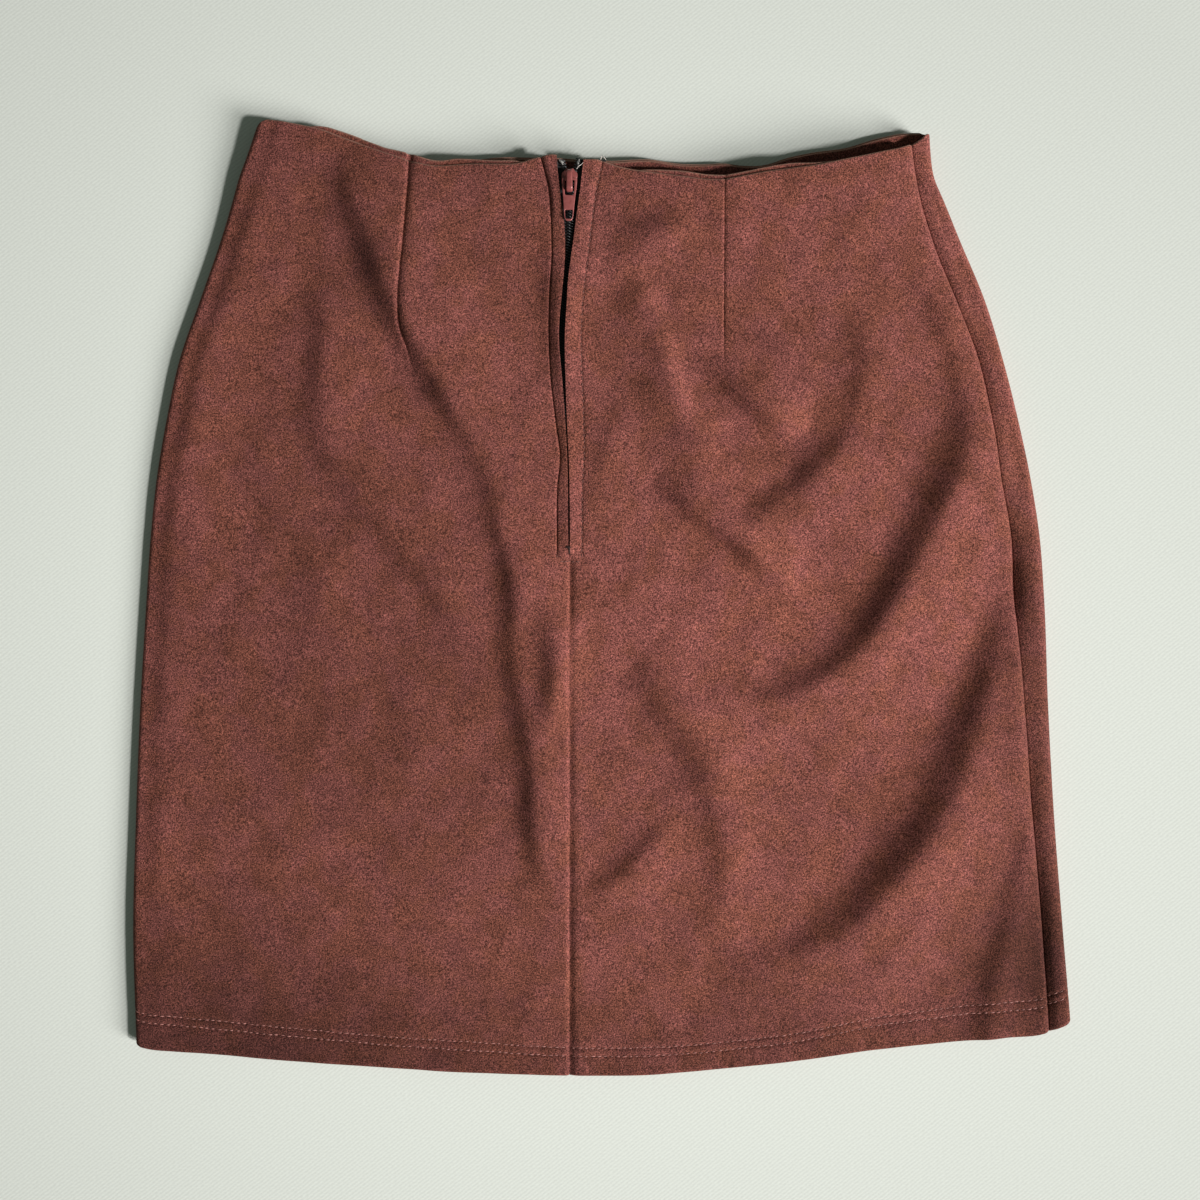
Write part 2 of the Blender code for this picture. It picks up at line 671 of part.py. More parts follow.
def build_cloth(suede, tape):
    """The three panels, their waist facings and the zip's tapes, which are made from them."""
    under = [("back_under", 0.0, 0.0), ("back_under", 0.5, 0.0)]
    rim = [("back_left", 0.0, EDGE_COLUMN)]
    inner = spread("back_left", BACK_LEFT_COLUMNS, EVEN_FROM, -ZIP_EVEN_FROM)
    zip_left = [("back_left", 1.0, -reach) for reach in (FACING_END, TAPE_REACH, STITCH_REACH, 0.0)]
    stations = under + rolled("left") + rim + inner + zip_left
    grid, normal = panel("back_left_panel", stations, suede)
    first, last = len(under) + ROLL_COLUMNS - 1, len(stations) - 3
    edge = smooth(WAIST["facing"], WAIST["x"], grid[-1, first:last, 0])
    facing("facing_back_left", grid[:, first:last], normal[:, first:last], edge, suede)
    zip_tape("left", grid[:, -3:], normal[:, -3:], tape)

    zip_right = [("back_right", 0.0, reach) for reach in (0.0, STITCH_REACH, TAPE_REACH, FACING_END)]
    inner = spread("back_right", BACK_RIGHT_COLUMNS, ZIP_EVEN_FROM, -EVEN_FROM)
    seam = [("back_right", 1.0, -EDGE_COLUMN), ("back_right", 1.0, 0.0)]
    stations = zip_right + inner + seam
    grid, normal = panel("back_right_panel", stations, suede)
    edge = smooth(WAIST["facing"], WAIST["x"], grid[-1, 3:, 0])
    facing("facing_back_right", grid[:, 3:], normal[:, 3:], edge, suede)
    zip_tape("right", grid[:, 2::-1], normal[:, 2::-1], tape)

    strip = [("front_strip", 0.0, 0.0), ("front_strip", 0.5, 0.0)]
    flat = [("front_under", share, 0.0) for share in np.linspace(0, 1, UNDER_COLUMNS)[1:]]
    stations = strip + rolled("right") + flat
    grid, normal = panel("front_panel", stations, suede)
    first = len(strip) + ROLL_COLUMNS - 1
    edge = np.zeros(len(stations) - first)
    facing("facing_front", grid[:, first:], normal[:, first:], edge, suede)


def build_zip(paint):
    """The slider, its pull and the stops, at the heights that the tapes give."""
    x = float(zip_middle(np.array(SLIDER_Y)))
    tape_top = float(cover(np.array(x), np.array(SLIDER_Y))) - CLOTH / 2 - GAP
    plate_low = tape_top + COIL_ROOM
    body, others = slider(x, plate_low, tape_top - TAPE - TAPE_ROOM, paint)
    join(body, others)
    pull_tab(x, plate_low + PLATE + PULL_LIFT, paint)
    for hand, stop_x in zip(("left", "right"), STOP_X):
        level = float(cover(np.array(stop_x), np.array(STOP_Y))) - CLOTH / 2
        block(f"zip_stop_{hand}", (stop_x, STOP_Y, level), STOP_SIZE, paint)
    x = float(zip_middle(np.array(BOTTOM_STOP_Y)))
    level = float(cover(np.array(x), np.array(BOTTOM_STOP_Y))) - CLOTH / 2 - GAP - TAPE - GAP
    middle = (x, BOTTOM_STOP_Y, level - BOTTOM_STOP_SIZE[2])
    block("zip_stop_bottom", middle, BOTTOM_STOP_SIZE, paint)


for found in list(bpy.data.objects):
    bpy.data.objects.remove(found)
build_cloth(
    new_material("suede", (0.16, 0.055, 0.042), 0.95),
    new_material("tape", (0.012, 0.012, 0.013), 0.9),
)
build_zip(new_material("paint", (0.39, 0.1, 0.09), 0.45, 0.2))
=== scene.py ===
# A suede mini skirt, laid flat on a pale floor with its back side up.
# +X is the right of the laid-out skirt, +Y points to the waist and the floor is z = 0.
# Shapes are worked out in millimetres and become metres in newMesh.
import math

import bmesh
import bpy
import numpy as np
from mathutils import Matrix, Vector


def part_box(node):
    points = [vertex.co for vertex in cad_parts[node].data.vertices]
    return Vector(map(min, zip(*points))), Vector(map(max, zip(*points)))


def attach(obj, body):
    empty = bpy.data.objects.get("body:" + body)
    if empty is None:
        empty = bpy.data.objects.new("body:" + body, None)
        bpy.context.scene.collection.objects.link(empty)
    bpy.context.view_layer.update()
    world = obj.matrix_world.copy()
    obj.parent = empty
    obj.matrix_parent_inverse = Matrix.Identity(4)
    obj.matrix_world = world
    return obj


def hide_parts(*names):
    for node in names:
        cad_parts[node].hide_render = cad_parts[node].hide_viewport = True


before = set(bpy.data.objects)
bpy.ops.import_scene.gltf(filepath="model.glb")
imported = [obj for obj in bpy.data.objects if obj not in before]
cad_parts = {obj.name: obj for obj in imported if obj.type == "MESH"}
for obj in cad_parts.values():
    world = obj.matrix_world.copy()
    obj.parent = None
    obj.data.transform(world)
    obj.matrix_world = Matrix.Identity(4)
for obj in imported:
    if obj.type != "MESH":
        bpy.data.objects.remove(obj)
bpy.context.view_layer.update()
mm = 0.001
wholeTurn = 6.28  # radians, near enough for waves and ribs


def table(names, rows):  # the rows as one array for each named column
    return dict(zip(names.split(), np.array(rows, float).T))


def rowsOf(columns):
    return [dict(zip(columns, row)) for row in zip(*columns.values())]


def smooth(column, at, values):  # a soft curve through a table's column
    slopes = np.gradient(column, at)
    values = np.clip(values, at[0], at[-1])
    low = np.clip(np.searchsorted(at, values) - 1, 0, len(at) - 2)
    span = at[low + 1] - at[low]
    share = (values - at[low]) / span
    rise = share * share * (3 - 2 * share)
    lead = share * (1 - share) ** 2 * span * slopes[low]
    trail = share * share * (share - 1) * span * slopes[low + 1]
    return column[low] * (1 - rise) + column[low + 1] * rise + lead + trail


def ease(share):
    share = np.clip(share, 0, 1)
    return share * share * (3 - 2 * share)


def unit(vectors):
    return vectors / np.linalg.norm(vectors, axis=-1, keepdims=True)


def bell(distance, width):
    return np.exp(-((distance / width) ** 2))


def rounding(distance, radius):  # share of its full thickness that a round edge has near its end
    return np.sqrt(1 - (1 - np.clip(distance / radius, 0, 1)) ** 2)


def addObject(name, data):
    made = bpy.data.objects.new(name, data)
    bpy.context.scene.collection.objects.link(made)
    return made


def newMesh(name, points, faces, material, body="skirt", sharp=60):
    mesh = bpy.data.meshes.new(name)
    mesh.from_pydata((np.asarray(points) * mm).tolist(), [], faces)
    mesh.materials.append(material)
    mesh.shade_smooth()
    mesh.set_sharp_from_angle(angle=math.radians(sharp))
    piece = addObject(name, mesh)
    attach(piece, body)
    return piece


def gridFaces(rows, columns):  # quads of a grid of points, row by row
    corner = (np.arange(rows - 1)[:, None] * columns + np.arange(columns - 1)).reshape(-1)
    return np.stack([corner, corner + 1, corner + columns + 1, corner + columns], axis=1).tolist()


def shell(name, outer, inner, material, pale=None):
    # a closed thin wall between two grids of points; pale is the share of raw edge at each point
    rows, columns = outer.shape[:2]
    count = rows * columns
    faces = gridFaces(rows, columns)
    inside = [[corner + count for corner in reversed(face)] for face in faces]
    index = np.arange(count).reshape(rows, columns)
    edge = [*index[0], *index[1:, -1], *index[-1, -2::-1], *index[-2:0:-1, 0]]
    rim = [[b, a, a + count, b + count] for a, b in zip(edge, edge[1:] + edge[:1])]
    points = np.concatenate([outer.reshape(-1, 3), inner.reshape(-1, 3)])
    piece = newMesh(name, points, faces + inside + np.array(rim).tolist(), material)
    if pale is not None:
        share = piece.data.attributes.new("pale", "FLOAT", "POINT")
        share.data.foreach_set("value", np.concatenate([pale.reshape(-1)] * 2))
    return piece


alongY, alongZ = np.eye(3)[1:]
threadSides = 6


def tube(path, radius, up):  # points and faces of a round thread with closed ends
    tangent = unit(np.gradient(path, axis=0))
    across = unit(np.cross(tangent, up))
    above = np.cross(across, tangent)
    turn = np.linspace(0, 2 * math.pi, threadSides, endpoint=False)
    radius = np.broadcast_to(radius, len(path))[:, None, None]
    ring = np.cos(turn)[:, None] * across[:, None] + np.sin(turn)[:, None] * above[:, None]
    points = (path[:, None] + ring * radius).reshape(-1, 3)
    faces = []
    for row in range(len(path) - 1):
        for place in range(threadSides):
            a, b = (row * threadSides + corner % threadSides for corner in (place, place + 1))
            faces.append([a, b, b + threadSides, a + threadSides])
    first, last = list(range(threadSides)), list(range(len(points) - threadSides, len(points)))
    return points, faces + [first[::-1], last]


def gather(parts):  # several (points, faces) as one
    points, faces, count = [], [], 0
    for somePoints, someFaces in parts:
        points.append(somePoints)
        faces += [[corner + count for corner in face] for face in someFaces]
        count += len(somePoints)
    return np.concatenate(points), faces


# Floor, light and camera.
stage = {
    "floorColour": (0.675, 0.70, 0.66),
    "floorSize": 3000,
    "weaveSize": 1.3,
    "weaveStretch": (1.0, 1.6, 1.0),
    "weaveShades": (0.96, 1.035),  # its darkest and its lightest
    "twillSize": 1.5,
    "twillAngle": -128,
    "twillShades": (0.925, 1.03),
    "dimFrom": (-20, -40),  # the floor lies in full light here, and dims away from it
    "dimOver": (0.2, 0.4),  # metres from there
    "dimTo": 0.86,
    "lampFar": 9000,
    "lampColour": (1.0, 0.985, 0.96),
    "skyColour": (0.80, 0.97, 0.82),
    "skyStrength": 0.12,
    "cameraOver": (-1.8, -1.1, 650),
    "lens": 42.6,
}
ribSpan = 0.314  # length of one rib of a wave texture at scale 1

# A small lamp for the crisp core of the shadows and a broad one for their soft edges: azimuth from
# +X and height above the floor in degrees, width in millimetres, and watts.
lamps = table("azimuth height size watts", [
    (-24, 37, 950, 720),
    (-28, 22, 3600, 1070),
])


def colour(rgb):
    return (*rgb, 1.0)


def addNode(tree, kind, inputs=(), **settings):  # a node with its settings and input values
    node = tree.nodes.new("ShaderNode" + kind)
    for name, value in settings.items():
        setattr(node, name, value)
    for name, value in dict(inputs).items():
        if isinstance(value, bpy.types.NodeSocket):
            tree.links.new(value, node.inputs[name])
        else:
            node.inputs[name].default_value = value
    return node


def newMaterial(name, roughness):
    material = bpy.data.materials.new(name)
    material.use_nodes = True
    shader = material.node_tree.nodes["Principled BSDF"]
    shader.inputs["Roughness"].default_value = roughness
    where = addNode(material.node_tree, "TexCoord").outputs["Object"]
    return material, material.node_tree, shader, where


def noise(tree, where, size, detail, roughness, stretch=(1, 1, 1)):  # size in millimetres
    scaled = addNode(tree, "Mapping", {"Vector": where, "Scale": stretch}).outputs[0]
    pattern = {"Vector": scaled, "Scale": 1 / (size * mm), "Detail": detail, "Roughness": roughness}
    return addNode(tree, "TexNoise", pattern).outputs[0]


def remap(tree, value, low, high, toLow, toHigh, **settings):
    ends = {"Value": value, "From Min": low, "From Max": high, "To Min": toLow, "To Max": toHigh}
    return addNode(tree, "MapRange", ends, **settings).outputs[0]


def mixColours(tree, share, first, second, blend="MIX"):
    inputs = {0: share, 6: first, 7: second}  # the colour sockets of a mix
    return addNode(tree, "Mix", inputs, data_type="RGBA", blend_type=blend).outputs[2]


def shaded(tree, tint, shade):
    return mixColours(tree, 1.0, tint, shade, "MULTIPLY")


def fromMiddle(tree, where, **mapping):  # distance from a place, in the mapping's own measure
    away = addNode(tree, "Mapping", {"Vector": where, **mapping}).outputs[0]
    return addNode(tree, "VectorMath", {"Vector": away}, operation="LENGTH").outputs["Value"]


def bump(tree, shader, height, strength, depth):  # depth in millimetres
    made = addNode(tree, "Bump", {"Height": height, "Strength": strength, "Distance": depth * mm})
    tree.links.new(made.outputs[0], shader.inputs["Normal"])


def makeFloor():
    material, tree, shader, where = newMaterial("floor", 0.95)
    weave = noise(tree, where, stage["weaveSize"], 1.0, 0.5, stage["weaveStretch"])
    turn = (0, 0, math.radians(stage["twillAngle"]))
    turned = addNode(tree, "Mapping", {"Vector": where, "Rotation": turn}).outputs[0]
    scale = ribSpan / (stage["twillSize"] * mm)
    twill = {"Vector": turned, "Scale": scale, "Distortion": 1.2, "Detail": 1.0}
    ribs = addNode(tree, "TexWave", twill).outputs[0]
    x, y = stage["dimFrom"]
    far = fromMiddle(tree, where, Location=(-x * mm, -y * mm, 0))
    tinted = shaded(tree, colour(stage["floorColour"]), remap(tree, weave, 0.3, 0.7, *stage["weaveShades"]))
    tinted = shaded(tree, tinted, remap(tree, ribs, 0, 1, *stage["twillShades"]))
    tinted = shaded(tree, tinted, remap(tree, far, *stage["dimOver"], 1.0, stage["dimTo"]))
    tree.links.new(tinted, shader.inputs["Base Color"])
    half = stage["floorSize"] / 2
    corners = [(-half, -half, 0), (half, -half, 0), (half, half, 0), (-half, half, 0)]
    mesh = bpy.data.meshes.new("floor")
    mesh.from_pydata((np.array(corners) * mm).tolist(), [], [(0, 1, 2, 3)])
    mesh.materials.append(material)
    floor = addObject("floor", mesh)


def makeLight():
    for number, lamp in enumerate(rowsOf(lamps)):
        azimuth, height = math.radians(lamp["azimuth"]), math.radians(lamp["height"])
        flat = math.cos(height)
        towards = np.array([math.cos(azimuth) * flat, math.sin(azimuth) * flat, math.sin(height)])
        made = bpy.data.lights.new(f"lamp_{number}", "AREA")
        made.shape = "DISK"
        made.size = lamp["size"] * mm
        made.energy = lamp["watts"]
        made.color = stage["lampColour"]
        light = addObject(f"lamp_{number}", made)
        light.location = towards * stage["lampFar"] * mm
        light.rotation_euler = light.location.to_track_quat("Z", "Y").to_euler()

    world = bpy.data.worlds.new("room")
    world.use_nodes = True
    sky = world.node_tree.nodes["Background"].inputs
    sky["Color"].default_value = colour(stage["skyColour"])
    sky["Strength"].default_value = stage["skyStrength"]
    bpy.context.scene.world = world
    bpy.context.scene.view_settings.view_transform = "Standard"


def makeCamera():
    camera = addObject("camera", bpy.data.cameras.new("camera"))
    camera.location = np.array(stage["cameraOver"]) * mm
    camera.data.lens = stage["lens"]
    camera.data.clip_start = 0.01
    bpy.context.scene.camera = camera


makeFloor()
makeLight()
makeCamera()
print("floor, light and camera are in place")

suedeLook = {
    "brown": (0.157, 0.0508, 0.0357),  # where the nap lies one way
    "rose": (0.172, 0.0553, 0.0466),  # and the other
    "rawEdge": (0.34, 0.20, 0.15),
    "rawShare": 0.75,
    "cloudSize": 15,
    "shine": 0.12,
    "sheen": 0.13,
    "sheenRoughness": 0.45,
    "sheenColour": (1.0, 0.52, 0.43),
    "fleckBump": 0.5,
    "fleckDepth": 0.5,
}

# Patterns in the nap: the size in millimetres, detail and roughness of each, the span of its noise
# that is used, and its darkest and its lightest.
napPatterns = {
    "patches": (48, 2.0, 0.5, 0.3, 0.7, 0.93, 1.07),
    "blotches": (8.5, 2.0, 0.6, 0.3, 0.7, 0.86, 1.14),
    "flecks": (0.62, 1.0, 0.5, 0.32, 0.68, 0.35, 1.75),
    "specks": (1.3, 3.0, 0.75, 0.35, 0.75, 0.80, 1.45),
    "grain": (0.36, 1.0, 0.5, 0.3, 0.7, 0.55, 1.58),
}

# Areas that are lighter or darker: the small ones are painted shade and painted highlights along the flanks
# and crests of the folds, the broad ones darken the cloth towards the hem, over the left half, along the
# waist and at the right, and lighten it in the middle; middle and reach in millimetres, and how much
# lighter or darker each is.
shadedAreas = table("x y reachX reachY shade", [
    (-215, -225, 190, 120, -0.50),
    (-60, -230, 190, 85, -0.30),
    (120, -228, 170, 85, -0.40),
    (-140, 0, 200, 440, -0.27),
    (-40, 225, 280, 130, -0.22),
    (210, -60, 55, 190, -0.42),
    (190, -165, 62, 62, -0.52),
    (92, 45, 42, 42, -0.07),
    (-178, 70, 26, 95, 0.16),
    (18, 170, 26, 12, -0.22),
    (68, 118, 18, 11, -0.20),
    (52, 92, 8, 6, -0.16),
    (63, 86, 8, 6, -0.16),
    (74, 80, 8, 6, -0.12),
    (47, 84, 7, 5, 0.10),
    (56, 78, 8, 5, 0.12),
    (68, 72, 9, 5, 0.12),
    (109, 116, 15, 15, -0.24),
    (24, 124, 10, 26, -0.12),
    (36, 74, 14, 14, -0.14),
    (14, 148, 13, 9, 0.28),
    (-106, 153, 12, 28, -0.30),
    (-98, 133, 9, 16, -0.22),
    (-78, 94, 10, 11, -0.28),
    (23, 136, 10, 9, 0.22),
    (52, 77, 10, 6, 0.20),
    (66, 69, 11, 5, 0.18),
    (61, -39, 15, 12, -0.15),
    (95, -47, 15, 9, -0.16),
    (-27, -35, 9, 24, -0.20),
    (45, 0, 110, 110, 0.16),
])


def areaShades(tree, where):  # painted shade and highlights, and the broad darker and lighter areas, from the table above
    total = 1.0
    for area in rowsOf(shadedAreas):
        middle = (-area["x"] / area["reachX"], -area["y"] / area["reachY"], 0)
        scale = (1 / mm / area["reachX"], 1 / mm / area["reachY"], 0)
        away = fromMiddle(tree, where, Scale=scale, Location=middle)
        share = remap(tree, away, 0, 1, area["shade"], 0, interpolation_type="SMOOTHSTEP")
        total = addNode(tree, "Math", {0: share, 1: total}, operation="ADD").outputs[0]
    return total


def makeSuede():
    look = suedeLook
    material, tree, shader, where = newMaterial("suede", 0.95)
    clouds = remap(tree, noise(tree, where, look["cloudSize"], 3.0, 0.6), 0.4, 0.6, 0, 1)
    nap = mixColours(tree, clouds, colour(look["brown"]), colour(look["rose"]))
    # painted shade and painted highlights from the areas above, multiplied into the nap colour
    nap = shaded(tree, nap, areaShades(tree, where))
    for name, (size, detail, roughness, *spread) in napPatterns.items():
        pattern = noise(tree, where, size, detail, roughness)
        nap = shaded(tree, nap, remap(tree, pattern, *spread))
        if name == "flecks":
            bump(tree, shader, pattern, look["fleckBump"], look["fleckDepth"])
    raw = addNode(tree, "Attribute", attribute_name="pale").outputs["Fac"]
    nap = mixColours(tree, remap(tree, raw, 0, 1, 0, look["rawShare"]), nap, colour(look["rawEdge"]))
    tree.links.new(nap, shader.inputs["Base Color"])
    shader.inputs["Specular IOR Level"].default_value = look["shine"]
    shader.inputs["Sheen Weight"].default_value = look["sheen"]
    shader.inputs["Sheen Roughness"].default_value = look["sheenRoughness"]
    shader.inputs["Sheen Tint"].default_value = colour(look["sheenColour"])
    return material


tapeLook = {
    "colour": (0.010, 0.010, 0.011),
    "threadSize": 0.45,  # a rib is about four of them wide
    "shades": (0.5, 2.0),
    "relief": 0.15,
}


def makeTapeCloth():
    material, tree, shader, where = newMaterial("zip tape", 0.85)
    scale = 1 / (tapeLook["threadSize"] * mm * wholeTurn)
    weave = {"Vector": where, "Scale": scale, "Distortion": 0.6}
    ribs = addNode(tree, "TexWave", weave, bands_direction="DIAGONAL").outputs[0]
    shade = shaded(tree, colour(tapeLook["colour"]), remap(tree, ribs, 0, 1, *tapeLook["shades"]))
    tree.links.new(shade, shader.inputs["Base Color"])
    bump(tree, shader, ribs, 0.5, tapeLook["relief"])
    return material


plainLook = {
    "roughnessSpread": (-0.08, 0.1),  # round its own roughness, over the blotches
    "wearAndHighlightAt": (0.53, 0.6),  # from none to full wear and painted highlight, by how pointed an edge is
    "wearAndHighlightShare": 0.7,
    "relief": 0.05,
}


def makePlain(name, base, dark, roughness, size, metallic=0.0, edgeWearAndHighlight=None):
    # a hard finish with faint blotches, fine bumps and, where named, lighter edges that are partly wear and
    # partly painted highlight
    material, tree, shader, where = newMaterial(name, roughness)
    blotches = noise(tree, where, size, 3.0, 0.6)
    shade = mixColours(tree, remap(tree, blotches, 0.35, 0.65, 0, 1), colour(dark), colour(base))
    if edgeWearAndHighlight:
        edges = addNode(tree, "NewGeometry").outputs["Pointiness"]
        rubbedAndLit = remap(tree, edges, *plainLook["wearAndHighlightAt"], 0, plainLook["wearAndHighlightShare"])
        shade = mixColours(tree, rubbedAndLit, shade, colour(edgeWearAndHighlight))
    tree.links.new(shade, shader.inputs["Base Color"])
    smoother, rougher = plainLook["roughnessSpread"]
    rough = remap(tree, blotches, 0.3, 0.7, roughness + smoother, roughness + rougher)
    tree.links.new(rough, shader.inputs["Roughness"])
    shader.inputs["Metallic"].default_value = metallic
    bump(tree, shader, blotches, 0.3, plainLook["relief"])
    return material


suede = makeSuede()
tapeCloth = makeTapeCloth()
coilNylon = makePlain("zip coil", (0.022, 0.022, 0.024), (0.008, 0.008, 0.009), 0.38, 0.8)
# its lighter edges are partly paint worn off and partly painted highlight
paint = makePlain(
    "painted metal", (0.295, 0.083, 0.078), (0.235, 0.062, 0.058), 0.34, 1.6, 0.15, (0.50, 0.24, 0.22)
)
# painted reflection: the light-grey blotches of this finish stand for glints on the clear plastic stops,
# over their dark colour
stopGlintFinish = makePlain("clear stop", (0.45, 0.43, 0.41), (0.05, 0.05, 0.05), 0.25, 0.8)
hemThread = makePlain("hem thread", (0.44, 0.19, 0.165), (0.17, 0.06, 0.05), 0.7, 5.0)
# painted shade: a near-black finish for the small pieces that stand for the shadow in each needle hole
holeShade = makePlain("needle hole", (0.022, 0.007, 0.005), (0.010, 0.003, 0.003), 0.9, 0.6)
bodyThread = makePlain("zip thread", (0.22, 0.085, 0.07), (0.12, 0.045, 0.038), 0.75, 0.6)
looseThread = makePlain("loose thread", (0.75, 0.66, 0.62), (0.55, 0.46, 0.42), 0.6, 0.6)
print("finishes are mixed")

cloth = {
    "thick": 1.0,
    "gap": 0.3,
    "hemDepth": 12.7,
    "hemSlack": 0.1,  # so that the row just inside its edge still counts
    "bottomHemRise": 1.5,  # by which the front's hem stays behind the back's
    "underSeam": (12.0, 24.5),  # left side seam, from the left fold: at the waist and at the hem
    "sideLength": 420.0,
    "flatCover": 5.0,  # middle of the upper wall where nothing lifts it
    "rimEase": 11.0,  # over which the upper wall falls to a fold's own height
    "ridge": (10, 7, 16),  # the soft ridge inside the left fold: its way in, and its two flanks
    "waistRoll": (0.9, 0.85),  # of the waist's edge: its width, and how far it bends down
    "foldThin": 0.02,  # share of its thickness that the hem keeps at its very fold
    "rawEdge": 0.8,  # width of the raw edge
    "pitch": 1.75,  # between columns and rows of the fine mesh
}
halfWall = cloth["thick"] / 2  # also the height of the wall's middle where it lies on the floor

# A row for each cross-section: the two folds, the right side seam, the middle of the upper
# wall where each fold begins, and the soft ridge that stands beside the left one.
sides = table("y left right seam leftRim rightRim leftRidge", [
    (-218, -212.5, 214.0, 203.3, 4.9, 5.2, 0.2),
    (-200, -213.1, 212.9, 202.6, 4.9, 5.4, 0.2),
    (-150, -214.5, 208.5, 198.8, 4.7, 7.4, 0.3),
    (-100, -213.3, 204.3, 193.6, 4.3, 9.4, 0.4),
    (-50, -211.4, 201.4, 189.4, 4.1, 10.4, 0.5),
    (0, -208.5, 199.5, 185.4, 4.0, 10.6, 0.5),
    (27, -206.7, 197.6, 183.9, 4.0, 10.2, 0.5),
    (54, -203.9, 193.6, 178.9, 4.2, 9.2, 0.6),
    (81, -199.3, 188.0, 175.2, 4.5, 8.4, 0.8),
    (108, -193.4, 181.3, 169.5, 4.8, 7.7, 1.0),
    (135, -184.1, 173.1, 159.1, 4.9, 7.2, 1.2),
    (162, -174.7, 161.9, 148.4, 4.9, 7.0, 1.2),
    (180, -169.1, 154.4, 142.8, 4.9, 7.0, 1.0),
    (190, -166.1, 150.0, 140.8, 4.9, 7.0, 0.8),
    (203, -161.0, 147.9, 138.7, 4.9, 7.0, 0.6),
    (218, -155.5, 147.0, 137.2, 4.9, 6.8, 0.3),
])

# A row for each station of the waist: the back's edge, how far its facing stands above it,
# and the edge of the front, which lies behind.
waist = table("x back facing front", [
    (-157.8, 211.1, 0.0, 211.1),
    (-156.4, 213.7, 0.0, 213.5),
    (-153.7, 215.7, 0.0, 215.3),
    (-148.6, 215.6, 0.0, 215.2),
    (-141.6, 214.3, 0.0, 213.9),
    (-135.1, 213.0, 0.0, 212.6),
    (-131.1, 212.2, 1.1, 212.3),
    (-125.6, 210.6, 2.2, 211.5),
    (-120.0, 208.5, 2.6, 210.0),
    (-112.5, 205.7, 2.8, 207.4),
    (-105.0, 202.8, 2.8, 204.6),
    (-98.7, 200.6, 2.6, 202.2),
    (-92.9, 198.7, 3.1, 200.7),
    (-87.8, 196.8, 3.6, 199.3),
    (-83.0, 195.6, 3.3, 197.9),
    (-77.9, 194.7, 2.8, 196.6),
    (-72.5, 194.6, 2.7, 196.3),
    (-67.0, 195.0, 3.1, 197.1),
    (-60.9, 195.4, 2.6, 198.1),
    (-47.0, 195.3, 2.0, 199.7),
    (-40.9, 195.4, 1.9, 199.8),
    (-36.4, 196.2, 0.6, 199.7),
    (-33.0, 197.3, 0.0, 199.6),
    (-26.9, 198.6, 0.0, 199.5),
    (-22.6, 199.1, 0.0, 199.4),
    (-19.4, 198.4, 0.0, 199.3),
    (-8.9, 196.9, 0.0, 198.5),
    (-2.4, 196.7, 0.0, 198.3),
    (5.3, 194.2, 0.0, 198.3),
    (12.2, 192.7, 0.0, 198.8),
    (20.2, 191.6, 1.4, 199.1),
    (33.9, 189.7, 2.6, 197.3),
    (46.9, 188.0, 2.4, 197.2),
    (54.3, 188.0, 2.2, 197.6),
    (63.2, 189.5, 2.1, 196.6),
    (72.5, 191.2, 2.3, 196.8),
    (83.3, 192.5, 2.6, 200.1),
    (94.8, 193.8, 1.4, 202.5),
    (109.6, 196.7, 0.0, 204.5),
    (124.2, 199.9, 0.0, 208.8),
    (135.7, 202.9, 0.0, 211.1),
    (141.7, 205.9, 0.0, 211.5),
    (145.0, 208.3, 0.0, 211.3),
    (148.2, 209.8, 0.0, 210.0),
])

# How far the cloth rises at the waist's edge, on its lower (front) and its upper (back) side.
waistLift = table("x front back", [
    (-158, 3.5, 3.5),
    (-140, 4.2, 4.2),
    (-110, 5.0, 5.0),
    (-60, 5.4, 5.6),
    (-20, 5.5, 6.0),
    (6, 5.0, 6.0),
    (25, 4.0, 6.0),
    (50, 3.2, 5.5),
    (80, 3.0, 4.6),
    (110, 3.4, 3.8),
    (135, 3.2, 3.2),
    (149, 3.0, 3.0),
])
liftReach = (20.0, 70.0)  # below the waist's edge, on the lower and the upper side

# A row for each station of the hem: its edge, and the depth that is turned up.
hem = table("x y depth", [
    (-213, -203.9, 16.2),
    (-207, -205.3, 16.2),
    (-196, -206.2, 16.1),
    (-180, -207.4, 15.8),
    (-148, -210.2, 15.5),
    (-102, -213.5, 14.6),
    (-60, -216.0, 14.3),
    (-16, -217.2, 13.0),
    (21, -216.9, 12.8),
    (46, -214.7, 12.4),
    (89, -210.2, 13.2),
    (116, -206.2, 14.8),
    (153, -202.2, 16.0),
    (180, -199.8, 16.4),
    (201, -198.0, 16.5),
    (208, -195.2, 16.5),
    (214, -192.6, 16.5),
])

# A row for each height of the centre back: the cloth edges of the zip opening, which close to
# the centre-back seam below it, and the lines of its topstitching.
centre = table("y left right stitchLeft stitchRight", [
    (-220, -15.85, -15.55, -21.4, -10.0),
    (-100, -15.85, -15.55, -21.4, -10.0),
    (0, -15.85, -15.55, -21.4, -10.0),
    (18, -15.85, -15.55, -21.3, -10.0),
    (24, -16.1, -15.45, -21.3, -10.0),
    (54, -16.4, -15.7, -20.8, -9.6),
    (62, -16.6, -15.9, -19.9, -9.1),
    (79, -17.5, -16.7, -21.8, -9.2),
    (99, -19.0, -17.4, -24.1, -9.9),
    (119, -20.5, -17.7, -24.9, -10.4),
    (134, -19.4, -16.8, -24.7, -9.8),
    (144, -18.4, -16.2, -24.2, -8.7),
    (153, -17.7, -15.1, -23.6, -7.6),
    (164, -17.7, -13.5, -23.7, -6.2),
    (172, -18.2, -12.5, -24.0, -5.2),
    (184, -19.9, -10.7, -24.9, -3.4),
    (197, -21.2, -9.2, -28.2, -0.6),
    (202, -21.2, -8.6, -29.6, 0.0),
])

